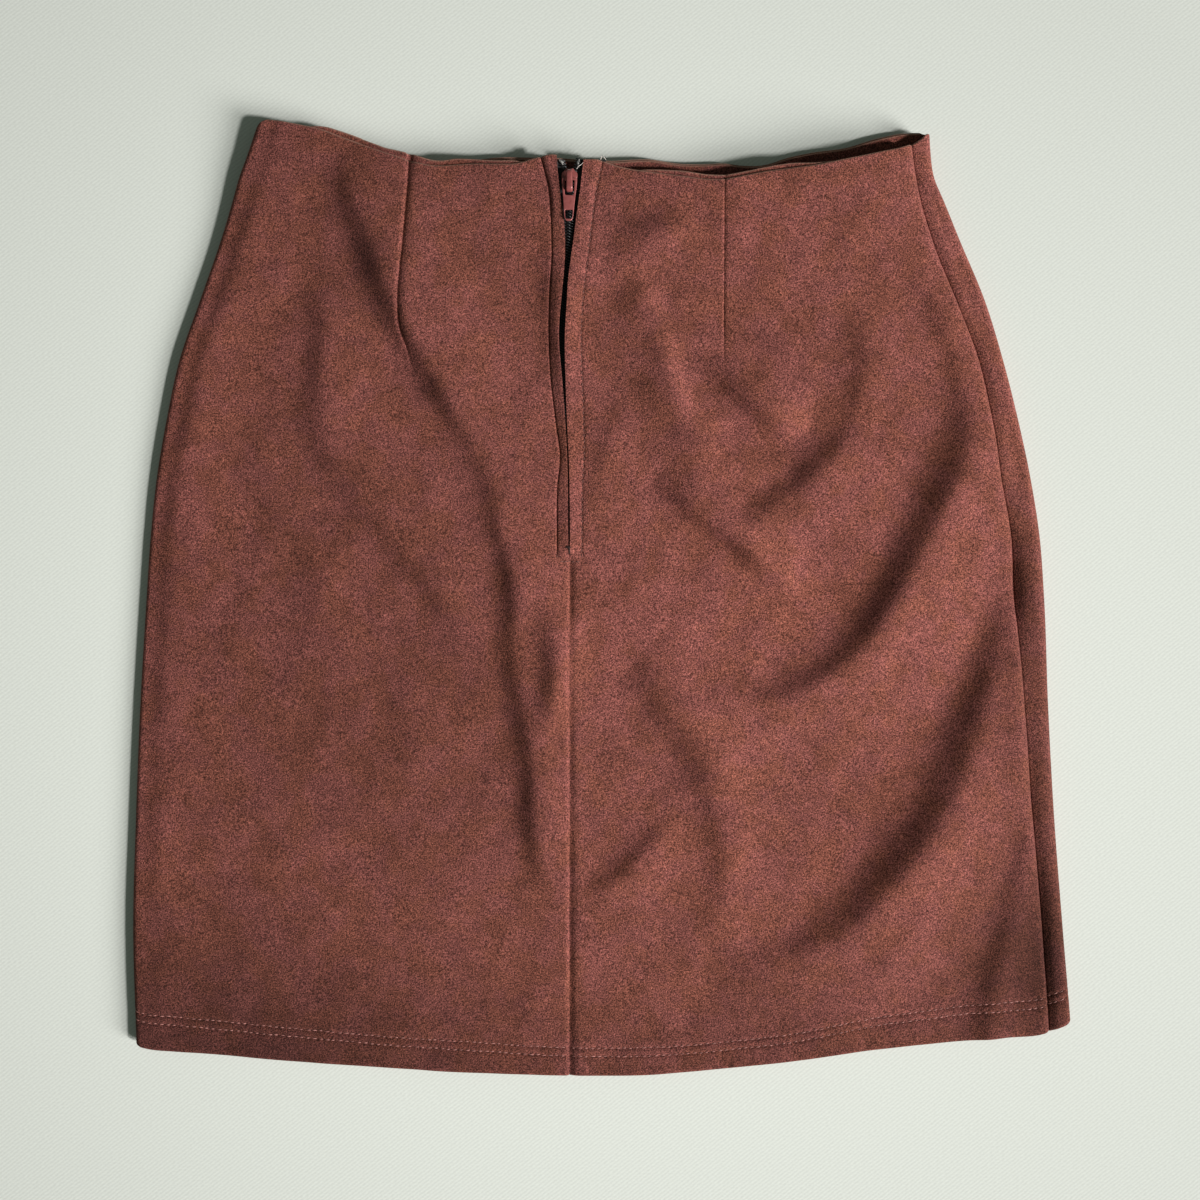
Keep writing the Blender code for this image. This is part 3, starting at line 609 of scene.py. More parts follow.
# The two darts, from their ends up to the waist.
leftDart = table("y x", [
    (98, -86.0),
    (111, -88.7),
    (124, -92.8),
    (131, -93.3),
    (161, -91.2),
    (183, -89.2),
    (202, -87.6),
])
rightDart = table("y x", [(96, 54.2), (140, 54.3), (200, 54.0)])

# Broad rises of the upper wall: the middle of each, its reach along X and Y, and its height.
rises = table("x y reachX reachY height", [
    (-15, 188, 60, 30, 0.5),
    (112, 212, 58, 84, 6.0),
    (96, -20, 82, 150, 3.2),
    (150, 40, 44, 90, 1.8),
    (-168, 60, 40, 150, 0.5),
])

# Each fold is a run of rows down the middle of its steep flank, with the high ground on the
# left hand: the widths of its steep and its gentle flank there, and its height.
folds = table("fold x y steep gentle height", [
    (1, 179.4, 3.4, 9, 28, 0),
    (1, 171.3, -29.0, 10, 34, 6.0),
    (1, 157.8, -69.5, 14, 42, 8.6),
    (1, 146.6, -94.6, 15, 44, 9.0),
    (1, 125.9, -123.4, 13, 42, 8.2),
    (1, 102.5, -149.5, 11, 34, 4.8),
    (1, 50.3, -169.3, 9, 26, 0),
    (2, 129.5, 158.0, 6, 14, 0),
    (2, 150.1, 125.6, 6, 14, 2.2),
    (2, 158.7, 95.5, 8, 20, 2.4),
    (2, 157.8, 68.1, 12, 34, 6.4),
    (2, 146.1, 39.3, 11, 38, 7.2),
    (2, 119.8, -9.8, 9.5, 36, 6.4),
    (2, 98.5, -31.9, 8.5, 26, 4.6),
    (2, 74.7, -42.0, 8, 16, 3.0),
    (2, 47.1, -38.6, 7, 14, 0),
    (3, 108.8, 130.1, 6, 12, 0),
    (3, 115.5, 109.0, 6, 14, 1.5),
    (3, 108.8, 79.8, 8, 22, 2.6),
    (3, 99.8, 65.4, 9.5, 28, 4.7),
    (3, 71.9, 42.0, 9, 24, 4.0),
    (3, 53.0, 30.3, 8, 20, 0),
    (4, -122.7, 201.2, 8, 22, 0),
    (4, -116.0, 177.8, 8, 24, 3.8),
    (4, -98.9, 131.9, 8.5, 28, 5.4),
    (4, -83.6, 106.8, 7, 26, 4.8),
    (4, -68.3, 78.9, 6.5, 22, 3.8),
    (4, -57.5, 59.6, 7, 20, 2.2),
    (4, -47.7, 23.6, 6.5, 20, 3.8),
    (4, -42.7, -1.1, 6.5, 20, 4.4),
    (4, -43.6, -25.8, 7, 18, 3.2),
    (4, -35.1, -75.7, 7, 18, 4.3),
    (4, -34.2, -104.5, 7, 18, 4.0),
    (4, -26.5, -142.7, 6, 14, 0),
    (5, -134.0, 150.8, 9, 20, 0),
    (5, -130.4, 120.3, 9, 20, 3.3),
    (5, -132.6, 93.3, 10, 22, 3.1),
    (5, -127.7, 63.6, 9, 20, 2.6),
    (5, -102.9, 31.7, 8, 18, 2.3),
    (5, -78.2, 0.2, 7, 18, 2.6),
    (5, -60.2, -37.1, 7, 14, 0),
    (6, 86.0, 60.5, 6, 14, 0),
    (6, 66.0, 63.5, 6, 14, 2.6),
    (6, 50.0, 71.5, 6, 15, 4.0),
    (6, 37.5, 86.0, 6, 16, 4.0),
    (6, 33.0, 102.0, 6, 16, 3.4),
    (6, 29.5, 118.0, 6, 16, 3.0),
    (6, 22.0, 134.1, 6, 15, 2.6),
    (6, 14.0, 147.4, 6, 14, 0),
])

# The same, for the smaller creases between the folds.
creases = table("fold x y steep gentle height", [
    (1, 40.0, 108.0, 6, 14, 0),
    (1, 48.0, 100.5, 6, 14, 1.2),
    (1, 56.5, 93.0, 5, 14, 3.2),
    (1, 66.0, 86.2, 4.5, 15, 5.2),
    (1, 78.0, 79.6, 4.5, 13, 5.4),
    (1, 92.0, 74.5, 5, 12, 0),
    (2, -31.5, -4.0, 6, 10, 0),
    (2, -25.5, -24.0, 7, 10, 3.6),
    (2, -27.0, -44.0, 7, 10, 3.2),
    (2, -29.5, -66.0, 6, 10, 0),
    (13, 8.0, -36.0, 9, 14, 0),
    (13, 18.0, -45.0, 9, 16, 3.0),
    (13, 30.6, -59.7, 10, 18, 4.8),
    (13, 42.0, -78.0, 10, 18, 4.4),
    (13, 48.7, -104.8, 9, 16, 2.4),
    (13, 51.0, -127.0, 8, 14, 2.0),
    (13, 44.0, -158.0, 8, 12, 0),
    (4, 29.7, -96.4, 6, 12, 0),
    (4, 9.0, -121.2, 6.5, 12, 3.2),
    (4, -10.8, -134.2, 6, 10, 0),
    (5, 192.9, -82.0, 5, 9, 0),
    (5, 185.2, -122.5, 6.5, 10, 2.0),
    (5, 179.8, -147.2, 6.5, 10, 1.8),
    (5, 172.6, -180.9, 6.5, 10, 2.3),
    (5, 170.8, -203.4, 6.5, 10, 2.4),
    (6, 149.2, -126.1, 6, 12, 0),
    (6, 134.9, -150.4, 6, 12, 1.2),
    (6, 114.2, -175.5, 6, 12, 0),
    (7, -28.0, 178.0, 6, 13, 0),
    (7, -25.6, 150.0, 6, 14, 2.2),
    (7, -24.2, 125.6, 6, 13, 2.2),
    (7, -19.3, 83.4, 5, 9, 0),
    (8, 9.0, 92.4, 5, 10, 0),
    (8, -1.8, 66.3, 5, 10, 1.3),
    (8, -8.5, 36.0, 5, 9, 0),
    (9, -94.0, -29.9, 9, 14, 0),
    (9, -93.1, -58.7, 9, 14, 1.3),
    (9, -91.3, -89.2, 9, 14, 0),
    (10, -138.9, 36.6, 9, 14, 0),
    (10, -134.0, 3.4, 9, 14, 1.2),
    (10, -131.3, -43.4, 9, 14, 0),
    (11, -157.8, 76.2, 9, 14, 0),
    (11, -157.3, 48.3, 9, 14, 1.0),
    (11, -155.5, 15.1, 9, 14, 0),
    (12, 179.4, -4.7, 8, 8, 0),
    (12, 181.6, -25.8, 8, 8, 1.5),
    (12, 183.0, -64.1, 8, 8, 1.5),
    (12, 181.6, -91.0, 8, 8, 0),
    (14, 22.0, 52.0, 5, 10, 0),
    (14, 34.3, 41.7, 5, 12, 3.8),
    (14, 44.0, 34.0, 5, 12, 5.4),
    (14, 55.4, 25.9, 5, 11, 5.8),
    (14, 67.0, 16.0, 5, 10, 4.8),
    (14, 78.4, 6.6, 5, 9, 2.6),
    (14, 88.0, -3.0, 5, 8, 0),
    (15, 45.0, 174.0, 7, 14, 0),
    (15, 30.0, 171.0, 7, 14, 1.6),
    (15, 15.0, 164.0, 7, 14, 1.8),
    (15, 2.0, 154.0, 7, 12, 0),
])
foldSteps = 4  # straight pieces between two rows of a fold
foldCrest = 0.14  # share of its height that stands as a narrow crest above the gentle flank

# Low waves that keep the wall from lying dead flat: the length of each along X and Y, its shift
# and its height.
waves = table("alongX alongY shift height", [
    (61, 83, 0.3, 0.16),
    (-47, 39, 1.9, 0.11),
    (29, -71, 4.1, 0.08),
    (23, 31, 2.2, 0.04),
    (-17, 53, 5.0, 0.04),
])

# The sewn lines: how deep each is drawn in, and how wide on its left and on its right.
sewn = {
    "centreSeam": (1.1, 0.9, 2.2),
    "sideSeam": (1.6, 1.2, 2.6),
    "sideCrease": (0.9, 0.4),
    "leftDart": (1.3, 0.6, 1.5),
    "rightDart": (0.45, 0.4, 0.8),
    "dartFade": 30.0,  # over which a dart deepens from its end
    "dartPuff": (0.2, 5.0),  # soft swelling beside a dart: its height, and its way off and width
    "leftTopstitch": (1.0, 0.42),
    "rightTopstitch": (0.35, 0.55),
    "hemStitch": (0.4, 0.7),
    "underSeam": (0.375, 1.1),  # drawn in from below, so it rises
    "zipRidge": 0.8,  # by which the zip lifts the cloth edges
    "ridgeEnds": 178.0,  # height at which that lift has faded out
    "zipPad": 1.1,  # by which the folded cloth stands up beside the slider
    "padFrom": 164.0,
    "padSteep": 2.5,  # times as steep as the ridge
    "edgeSlack": 0.2,  # past the cloth edge, where both still count
    "zipFade": 16.0,  # over which the ridge fades out and the pad comes in
    "zipEnd": 16.4,  # height of the bar of stitches below the zip
    "endFade": 6.0,  # over which the topstitching deepens above it
    "seamFrom": 6.0,  # above that bar, where the centre seam begins
    "seamFade": 8.0,
    "hemRows": (8.8, 12.5),  # from the hem edge
}
inwards = {"left": 1, "right": -1}  # the way in from each fold


def side(name, y):
    return smooth(sides[name], sides["y"], y)


def dartLine(dart, y):
    return smooth(dart["x"], dart["y"], y)


def stitchLine(hand, y):  # zip topstitching
    return smooth(centre[f"stitch{hand.title()}"], centre["y"], y)


def centreEdge(hand, y):
    left = smooth(centre["left"], centre["y"], y)
    if hand == "left":
        return left
    return np.maximum(smooth(centre["right"], centre["y"], y), left + cloth["gap"])


def zipMiddle(y):
    return (centreEdge("left", y) + centreEdge("right", y)) / 2


def underSeam(y):
    atWaist, atHem = cloth["underSeam"]
    return side("left", y) + atHem + (atWaist - atHem) * (y / cloth["sideLength"] + 0.5)


def rollRadius(hand, y):  # of the middle of the wall round the left or right fold
    return (side(f"{hand}Rim", y) - halfWall) / 2


def foldEdge(hand, y):  # middle of the wall at the very edge of a fold
    return side(hand, y) + inwards[hand] * halfWall


def flatStart(hand, y):  # where the upper wall leaves a fold
    return foldEdge(hand, y) + inwards[hand] * rollRadius(hand, y)


def foldsOf(columns, number="fold"):  # each fold's rows as a table of its own
    numbers = columns[number]
    return [
        {name: column[numbers == one] for name, column in columns.items()} for one in np.unique(numbers)
    ]


def foldHeight(x, y, fold):
    at = np.arange(len(fold["x"]), dtype=float)
    steps = np.linspace(0, at[-1], foldSteps * (len(at) - 1) + 1)
    line = np.stack([smooth(fold["x"], at, steps), smooth(fold["y"], at, steps)], axis=-1)
    along = np.diff(line, axis=0)
    fromLine = np.stack([x, y], axis=-1)[..., None, :] - line[:-1]
    share = np.clip((fromLine * along).sum(-1) / (along * along).sum(-1), 0, 1)
    miss = fromLine - share[..., None] * along
    distance = np.hypot(miss[..., 0], miss[..., 1])
    nearest = distance.argmin(-1)[..., None]
    cross = along[:, 0] * fromLine[..., 1] - along[:, 1] * fromLine[..., 0]
    hand = np.sign(np.take_along_axis(cross, nearest, -1)[..., 0])
    row = (nearest[..., 0] + np.take_along_axis(share, nearest, -1)[..., 0]) / foldSteps
    steep, gentle, height = (smooth(fold[name], at, row) for name in ("steep", "gentle", "height"))
    across = hand * distance.min(-1) - steep / math.sqrt(2)
    crest = foldCrest * bell(across, steep) + (1 - foldCrest) * bell(across, gentle)
    return height * np.where(across < 0, bell(across, steep), crest)


def groove(away, depth, left, right=None):
    return -depth * bell(away, np.where(away < 0, left, right or left))


def sewnLines(x, y):  # what the seams, darts and topstitching add to the upper wall
    below = ease((sewn["zipEnd"] + sewn["seamFrom"] - y) / sewn["seamFade"])
    added = below * groove(x - zipMiddle(y), *sewn["centreSeam"])
    fromSeam = x - side("seam", y)
    added += groove(fromSeam, *sewn["sideSeam"]) + groove(fromSeam, *sewn["sideCrease"])
    puff, off = sewn["dartPuff"]
    for hand, dart in (("left", leftDart), ("right", rightDart)):
        away = x - dartLine(dart, y)
        shown = ease((y - dart["y"][0]) / sewn["dartFade"])
        added += shown * (groove(away, *sewn[f"{hand}Dart"]) + puff * bell(away - off, off))
    beside = ease((y - sewn["zipEnd"]) / sewn["endFade"])
    for hand, way in inwards.items():
        line, edge = stitchLine(hand, y), centreEdge(hand, y)
        added += beside * groove(x - line, *sewn[f"{hand}Topstitch"])
        inward = (x - line) / (edge - line)
        within = way * (edge - x) > -sewn["edgeSlack"]
        ridge = sewn["zipRidge"] * ease((sewn["ridgeEnds"] - y) / sewn["zipFade"]) * ease(inward)
        rise = ease((y - sewn["padFrom"]) / sewn["zipFade"])
        pad = sewn["zipPad"] * rise * ease(inward * sewn["padSteep"])
        added += np.where(within, (ridge + pad) * beside, 0)
    return added


def lifted(x, y, above):
    # rise of the cloth towards the waist, from its lower side (above = 0) to its upper one (1)
    mix = np.array([1 - above, above])
    edge, height = (
        np.tensordot(mix, [smooth(rows[name], rows["x"], x) for name in ("front", "back")], 1)
        for rows in (waist, waistLift)
    )
    return height * np.clip(1 - (edge - y) / (mix @ liftReach), 0, 1) ** 2


def broadForm(x, y, runs):  # the upper wall with its broad rises and some of its folds
    level = np.full(np.shape(x), cloth["flatCover"])
    for rise in rowsOf(rises):
        swell = rise["height"] * bell(x - rise["x"], rise["reachX"])
        level = level + swell * bell(y - rise["y"], rise["reachY"])
    for fold in runs:
        level = level + foldHeight(x, y, fold)
    return level


def cover(x, y):  # height of the middle of the upper wall
    inner = broadForm(x, y, foldsOf(folds) + foldsOf(creases))
    for wave in rowsOf(waves):
        turn = x / wave["alongX"] * wholeTurn + y / wave["alongY"] * wholeTurn + wave["shift"]
        inner = inner + wave["height"] * np.sin(turn)
    fromLeft = x - flatStart("left", y)
    fromRight = flatStart("right", y) - x
    wayIn, steep, gentle = cloth["ridge"]
    flank = np.where(fromLeft < wayIn, steep, gentle)
    inner = inner + side("leftRidge", y) * bell(fromLeft - wayIn, flank)
    rim = np.where(fromLeft < fromRight, side("leftRim", y), side("rightRim", y))
    inner = rim + (inner - rim) * ease(np.minimum(fromLeft, fromRight) / cloth["rimEase"])
    return inner + sewnLines(x, y) + lifted(x, y, 1.0)


# Each column of a panel is (where it runs, its height, how far it lies on the lower side).

def upperColumn(across):
    return across, cover, 0.0


def lowerColumn(across):
    def height(x, y):
        rise, width = sewn["underSeam"]
        return halfWall + rise * bell(x - underSeam(y), width) + lifted(x, y, 0.0)

    return across, height, 1.0


def rollColumn(hand, share):
    turn = math.pi * (share - 0.5) * inwards[hand]

    def across(y):
        return foldEdge(hand, y) + inwards[hand] * (rollRadius(hand, y) * (1 - math.cos(turn)))

    def height(x, y):
        rise = 1 + math.sin(turn)
        return halfWall + rollRadius(hand, y) * rise + lifted(x, y, rise / 2)

    lower = 1 - share if hand == "left" else share
    return across, height, lower


# About how wide each stretch of a panel is, and the distance between its columns.
stretches = {
    "foldToDart": (105, cloth["pitch"]),
    "dartToStitch": (67, cloth["pitch"]),
    "stitchToEdge": (5.5, 0.7),
    "edgeToStitch": (7, 0.8),
    "stitchToDart": (64, cloth["pitch"]),
    "dartToSeam": (125, cloth["pitch"]),
    "seamToFold": (9, 1.2),
    "underneath": (370, 4.0),
}


def between(first, last, stretch, near=(0.0,), far=(0.0,)):
    # columns from one line to another: near and far are close-set distances from each
    width, pitch = stretches[stretch]
    way = 1 if last(0.0) > first(0.0) else -1
    count = max(2, round((width - near[-1] - far[-1]) / pitch))
    made = [lambda y, d=d: first(y) + way * d for d in near[:-1]]
    for share in np.linspace(0, 1, count + 1):
        made.append(
            lambda y, s=share: (first(y) + way * near[-1]) * (1 - s) + (last(y) - way * far[-1]) * s
        )
    return made + [lambda y, d=d: last(y) - way * d for d in far[-2::-1]]


def onFrom(*ends, **steps):  # the next stretch, without the line that the one before has set
    return between(*ends, **steps)[1:]


edgeSteps = (0.0, 0.15, 0.4, 0.8, 1.3, 2.0)  # close-set columns beside a cut or folded edge
lineSteps = (0.0, 0.3, 0.65, 1.1, 1.7)  # and beside a sewn line
farSteps = (0.0, 0.8, 2.4)  # and at the end of the lower side
underShares = (0, 0.03, 0.08, 0.15, 0.3, 0.5, 0.75)  # from the seam underneath to the left fold
rollCount = 14


def backLeftColumns():
    seamEdge = lambda y: underSeam(y) - cloth["gap"] / 2
    start = lambda y: flatStart("left", y)
    dart = lambda y: dartLine(leftDart, y)
    stitch = lambda y: stitchLine("left", y)
    edge = lambda y: centreEdge("left", y)
    under = [lambda y, s=s: seamEdge(y) * (1 - s) + start(y) * s for s in underShares]
    upper = onFrom(start, dart, "foldToDart", far=lineSteps)
    upper += onFrom(dart, stitch, "dartToStitch", lineSteps, lineSteps)
    upper += onFrom(stitch, edge, "stitchToEdge", lineSteps, edgeSteps[:-1])
    rolls = [rollColumn("left", share) for share in np.linspace(0, 1, rollCount)]
    return [lowerColumn(across) for across in under] + rolls + [upperColumn(across) for across in upper]


def backRightColumns():
    edge = lambda y: centreEdge("right", y)
    stitch = lambda y: stitchLine("right", y)
    dart = lambda y: dartLine(rightDart, y)
    seam = lambda y: side("seam", y) - cloth["gap"] / 2
    upper = between(edge, stitch, "edgeToStitch", edgeSteps[:-1], lineSteps)
    upper += onFrom(stitch, dart, "stitchToDart", lineSteps, lineSteps)
    upper += onFrom(dart, seam, "dartToSeam", lineSteps, edgeSteps)
    return [upperColumn(across) for across in upper]


def frontColumns():
    seam = lambda y: side("seam", y) + cloth["gap"] / 2
    start = lambda y: flatStart("right", y)
    end = lambda y: underSeam(y) + cloth["gap"] / 2
    strip = between(seam, start, "seamToFold", edgeSteps)[:-1]
    under = onFrom(start, end, "underneath", far=farSteps)
    rolls = [rollColumn("right", share) for share in np.linspace(0, 1, rollCount)]
    return [upperColumn(across) for across in strip] + rolls + [lowerColumn(across) for across in under]


# Close-set rows: above the hem's fold, with one on each row of its stitches, and below the waist.
hemSteps = (0.0, 0.12, 0.35, 0.65, 1.0, 1.7, 2.8, 4.0, 5.2, 6.4, 7.4, 7.95, 8.4)
hemSteps += (8.8, 9.2, 9.65, 10.3, 11.1, 11.7, 12.1, 12.5, 12.75, 13.3, 13.9, 15.0)
waistSteps = (3.2, 2.4, 1.7, 1.1, 0.7, 0.4, 0.15, 0.0)
hemStretch = (1.0, 7.4)  # these rows move apart where the hem is deeper, from here and over so much


def rowPlan():
    # each row is (distance from the hem, distance from the waist, share of the way up)
    low, high = hemSteps[-1], waistSteps[0]
    count = round((cloth["sideLength"] - low - high) / cloth["pitch"])
    plan = [(d, 0.0, 0.0) for d in hemSteps[:-1]]
    plan += [(low, high, share) for share in np.linspace(0, 1, count + 1)]
    return np.array(plan + [(0.0, d, 1.0) for d in waistSteps[1:]])


fromHem, fromWaist, wayUp = rowPlan().T
hemRow = {d: int(np.flatnonzero(fromHem == d)[0]) for d in sewn["hemRows"]}


firstGuess = 205.0  # height of the waist, and of the hem below the middle
guessRounds = 12


def columnEnds(across, lower):  # heights of the waist and of the hem, from a guess made finer
    top, bottom = np.array([firstGuess]), np.array([-firstGuess])
    for _ in range(guessRounds):
        x = across(top)
        back = smooth(waist["back"], waist["x"], x)
        front = smooth(waist["front"], waist["x"], x)
        top = back + (front - back) * lower
        bottom = smooth(hem["y"], hem["x"], across(bottom)) + cloth["bottomHemRise"] * lower
    return top[0], bottom[0]


def middleGrid(columns):  # middle of a panel's wall, from the hem to the waist
    made = []
    stretchFrom, stretchOver = hemStretch
    groovesAt = sum(bell(fromHem - d, sewn["hemStitch"][1]) for d in sewn["hemRows"])
    for across, height, lower in columns:
        top, bottom = columnEnds(across, lower)
        depth = smooth(hem["depth"], hem["x"], across(np.array([bottom])))[0]
        deeper = (depth - cloth["hemDepth"]) * np.clip((fromHem - stretchFrom) / stretchOver, 0, 1)
        y = (bottom + fromHem + deeper) * (1 - wayUp) + (top - fromWaist) * wayUp
        x = across(y)
        z = height(x, y) - sewn["hemStitch"][0] * groovesAt * (wayUp == 0) * (1 - lower)
        made.append(np.stack([x, y, z], axis=-1))
    return np.stack(made, axis=1)


def outward(grid):  # unit normals that point out of the skirt
    return unit(np.cross(np.gradient(grid, axis=1), np.gradient(grid, axis=0)))


def rawEdge(shown, count):  # share of raw edge on some rows of a grid, in each of its columns
    pale = (wayUp[shown] == 1) * ease(1 - fromWaist[shown] / cloth["rawEdge"])
    return np.broadcast_to(pale[:, None], (len(pale), count))


def panel(name, columns):
    # the wall, its hem turned up inside and rounded at its fold, its waist edge rolled over
    grid = middleGrid(columns)
    normal = outward(grid)
    thick = cloth["thick"]
    outer = np.full(len(grid), halfWall)
    inner = np.full(len(grid), -halfWall)
    inHem = (wayUp == 0) & (fromHem < cloth["hemDepth"] + cloth["hemSlack"])
    inner[inHem] -= thick
    nearHem = (wayUp == 0) & (fromHem < thick)
    fold = thick * np.maximum(rounding(fromHem, thick)[nearHem], cloth["foldThin"])
    outer[nearHem] = -halfWall + fold
    inner[nearHem] = -halfWall - fold
    nearWaist = wayUp == 1
    width, depth = cloth["waistRoll"]
    outer[nearWaist] = halfWall - depth * thick * (1 - rounding(fromWaist, width)[nearWaist])
    outside, inside = grid + normal * outer[:, None, None], grid + normal * inner[:, None, None]
    pale = rawEdge(slice(None), len(columns))
    return shell(name, outside, inside, suede, pale), grid, normal


backLeft, leftGrid, leftNormal = panel("back_left", backLeftColumns())
backRight, rightGrid, rightNormal = panel("back_right", backRightColumns())
front, frontGrid, frontNormal = panel("front", frontColumns())
print("panels are draped:", [len(o.data.polygons) * 2 for o in (backLeft, backRight, front)])

facingLook = {
    "deep": 38.0,
    "drop": 0.4,  # of its top edge below the cloth edge where it doesn't show
    "endsAt": 13.0,  # from the zip's cloth edge
    "riseOver": 12.0,  # below the waist, where it begins to stand higher than the panel
    "edgeRadius": 0.5,
    "edgeThick": 0.12,
    "underCount": 95,  # columns of the front's lower side that carry it
}


def facing(name, grid, normal, edge):
    # made from a panel's own points near the waist, moved in; edge is how far it stands above
    look, thick = facingLook, cloth["thick"]
    fromTop = grid[-1, :, 1][None, :] - grid[..., 1]
    shown = fromTop.min(axis=1) < look["deep"]
    grid, normal = grid[shown].copy(), normal[shown]
    up = unit(grid[-1] - grid[-len(waistSteps)])
    lift = ease(1 - fromTop[shown] / look["riseOver"]) * (edge - look["drop"])[None, :]
    grid += up[None] * lift[..., None]
    atEdge = thick * rounding(fromWaist[shown], look["edgeRadius"])
    atEdge[wayUp[shown] < 1] = thick
    half = normal * np.maximum(atEdge, look["edgeThick"])[:, None, None] / 2
    middle = grid - normal * (halfWall + cloth["gap"]) - normal * thick / 2
    return shell(name, middle + half, middle - half, suede, rawEdge(shown, grid.shape[1]))


def backFacing(name, grid, normal, chosen):
    edge = smooth(waist["facing"], waist["x"], grid[-1, chosen, 0])
    return facing(name, grid[:, chosen], normal[:, chosen], edge)


def facings():
    ends, count = facingLook["endsAt"], facingLook["underCount"]
    top = leftGrid[-1]
    chosen = np.arange(len(top)) >= len(underShares) + rollCount
    chosen &= top[:, 0] < centreEdge("left", top[:, 1]) - ends
    made = [backFacing("facing_left", leftGrid, leftNormal, chosen)]
    top = rightGrid[-1]
    chosen = top[:, 0] > centreEdge("right", top[:, 1]) + ends
    made.append(backFacing("facing_right", rightGrid, rightNormal, chosen))
    under = (frontGrid[:, -count:], frontNormal[:, -count:])
    made.append(facing("facing_under", *under, np.zeros(count)))
    return made


facingLeft, facingRight, facingUnder = facings()
print("facings are in")

zipper = {
    "tape": 0.6,
    "tapeReach": 10.0,
    "tapeTop": 198.6,
    "tapeStep": 1.3,
    "tapeEdge": (0.4, 0.12),  # radius of a tape's rounded edge, and the share left at its very end
    "tapeSag": (0.9, 2.0, 8.0),  # under the topstitching: how deep, how far from it, gone by here
    "tapeFlat": (1.0, 5.0),  # across a tape, where it leaves the chain's level and reaches the cloth
    "sliderY": 187.9,
    "opensAt": 184.5,  # below it the two tapes meet
    "spread": 3.4,  # half the distance between the tapes at the waist
    "topAt": 200.0,
    "endsAt": 14.0,
    "coilPitch": 1.27,
    "coilSteps": 10,  # points of one loop
    "coilReach": 1.75,  # from the middle of the chain to the back of a loop
    "coilLap": 0.45,  # by which a loop reaches past the middle
    "coilHigh": 1.15,
    "coilWire": 0.27,
    "coilClear": 0.4,  # share of the wire's radius by which its middle clears the tape
    "coilEnds": (26.0, 197.0),
    "stopsAt": ((-19.1, 196.0), (-11.5, 196.0)),
}
tapeSteps = np.array([0.0, 0.12, 0.4, 1.0, 1.8, 2.2, 2.6, 3.5, 5.0, 7.0, 8.5, 9.4, 9.8, 10.0])


def chainHalf(y):  # distance of a tape's edge from the middle
    opening = ease((y - zipper["opensAt"]) / (zipper["topAt"] - zipper["opensAt"]))
    return cloth["gap"] / 2 + (zipper["spread"] - cloth["gap"] / 2) * opening


def tapeTop(y):  # height of the tapes' upper side, flat across the opening
    x = zipMiddle(y)
    return broadForm(x, y, foldsOf(folds)) + lifted(x, y, 1.0) - halfWall - cloth["gap"]


def zipTape(hand, name):
    outwards = -inwards[hand]
    y = np.arange(zipper["endsAt"], zipper["tapeTop"], zipper["tapeStep"])
    edge = zipMiddle(y) + outwards * chainHalf(y)
    reach = np.abs(centreEdge(hand, y) + outwards * zipper["tapeReach"] - edge)
    x = edge[:, None] + outwards * tapeSteps / zipper["tapeReach"] * reach[:, None]
    tall = np.broadcast_to(y[:, None], x.shape)
    under = cover(x, tall) - halfWall - cloth["gap"]
    sag, near, far = zipper["tapeSag"]
    under -= sag * ease((np.abs(x - stitchLine(hand, y)[:, None]) - far) / (near - far))
    flat, met = zipper["tapeFlat"]
    shown = ease((tapeSteps - flat) / (met - flat))
    z = np.minimum(tapeTop(y)[:, None] * (1 - shown) + under * shown, under)
    grid = np.stack([x, tall, z], axis=-1)
    radius, least = zipper["tapeEdge"]
    thin = least + (1 - least) * rounding(tapeSteps, radius)
    if hand == "left":
        grid, thin = grid[:, ::-1], thin[::-1]
    normal = outward(grid)
    normal *= np.sign(normal[..., 2:])
    middle = grid - normal * zipper["tape"] / 2
    half = normal * (thin * zipper["tape"] / 2)[None, :, None]
    return faceOut(shell(name, middle + half, middle - half, tapeCloth))


def faceOut(piece):  # turns every face round where the normals would point in
    mesh = piece.data
    mesh.calc_loop_triangles()
    corners = np.empty(len(mesh.loop_triangles) * 3, np.int32)
    mesh.loop_triangles.foreach_get("vertices", corners)
    points = np.empty(len(mesh.vertices) * 3)
    mesh.vertices.foreach_get("co", points)
    triangles = points.reshape(-1, 3)[corners.reshape(-1, 3)]
    if np.einsum("ij,ij->i", triangles[:, 0], np.cross(triangles[:, 1], triangles[:, 2])).sum() < 0:
        mesh.flip_normals()
    return piece


def zipCoil():
    # one wound loop for each tooth, on both tapes, half a pitch apart where they mesh
    parts = []
    pitch, high, wire = zipper["coilPitch"], zipper["coilHigh"] / 2, zipper["coilWire"]
    bottom, top = zipper["coilEnds"]
    turns = (top - bottom) / pitch
    turn = np.linspace(0, turns, int(turns * zipper["coilSteps"]))
    half = (zipper["coilReach"] + zipper["coilLap"]) / 2
    for way, shift in ((-1, 0.0), (1, 0.5)):
        y = bottom + (turn + shift) * pitch
        middle = zipMiddle(y) + way * (chainHalf(y) - cloth["gap"] / 2 + half - zipper["coilLap"])
        x = middle + half * np.cos(turn * 2 * math.pi)
        z = tapeTop(y) + high + wire * zipper["coilClear"] + high * np.sin(turn * 2 * math.pi)
        parts.append(tube(np.stack([x, y, z], axis=-1), wire, alongY))
    return newMesh("zip_coil", *gather(parts), coilNylon)


sideShare = 2.05  # a rounded corner takes at most one part in so many of each side
cornerSteps = 5


def mirrored(right, *middle):  # a closed outline from its right half
    return [*right, *middle, *((-x, y) for x, y in right[::-1])]


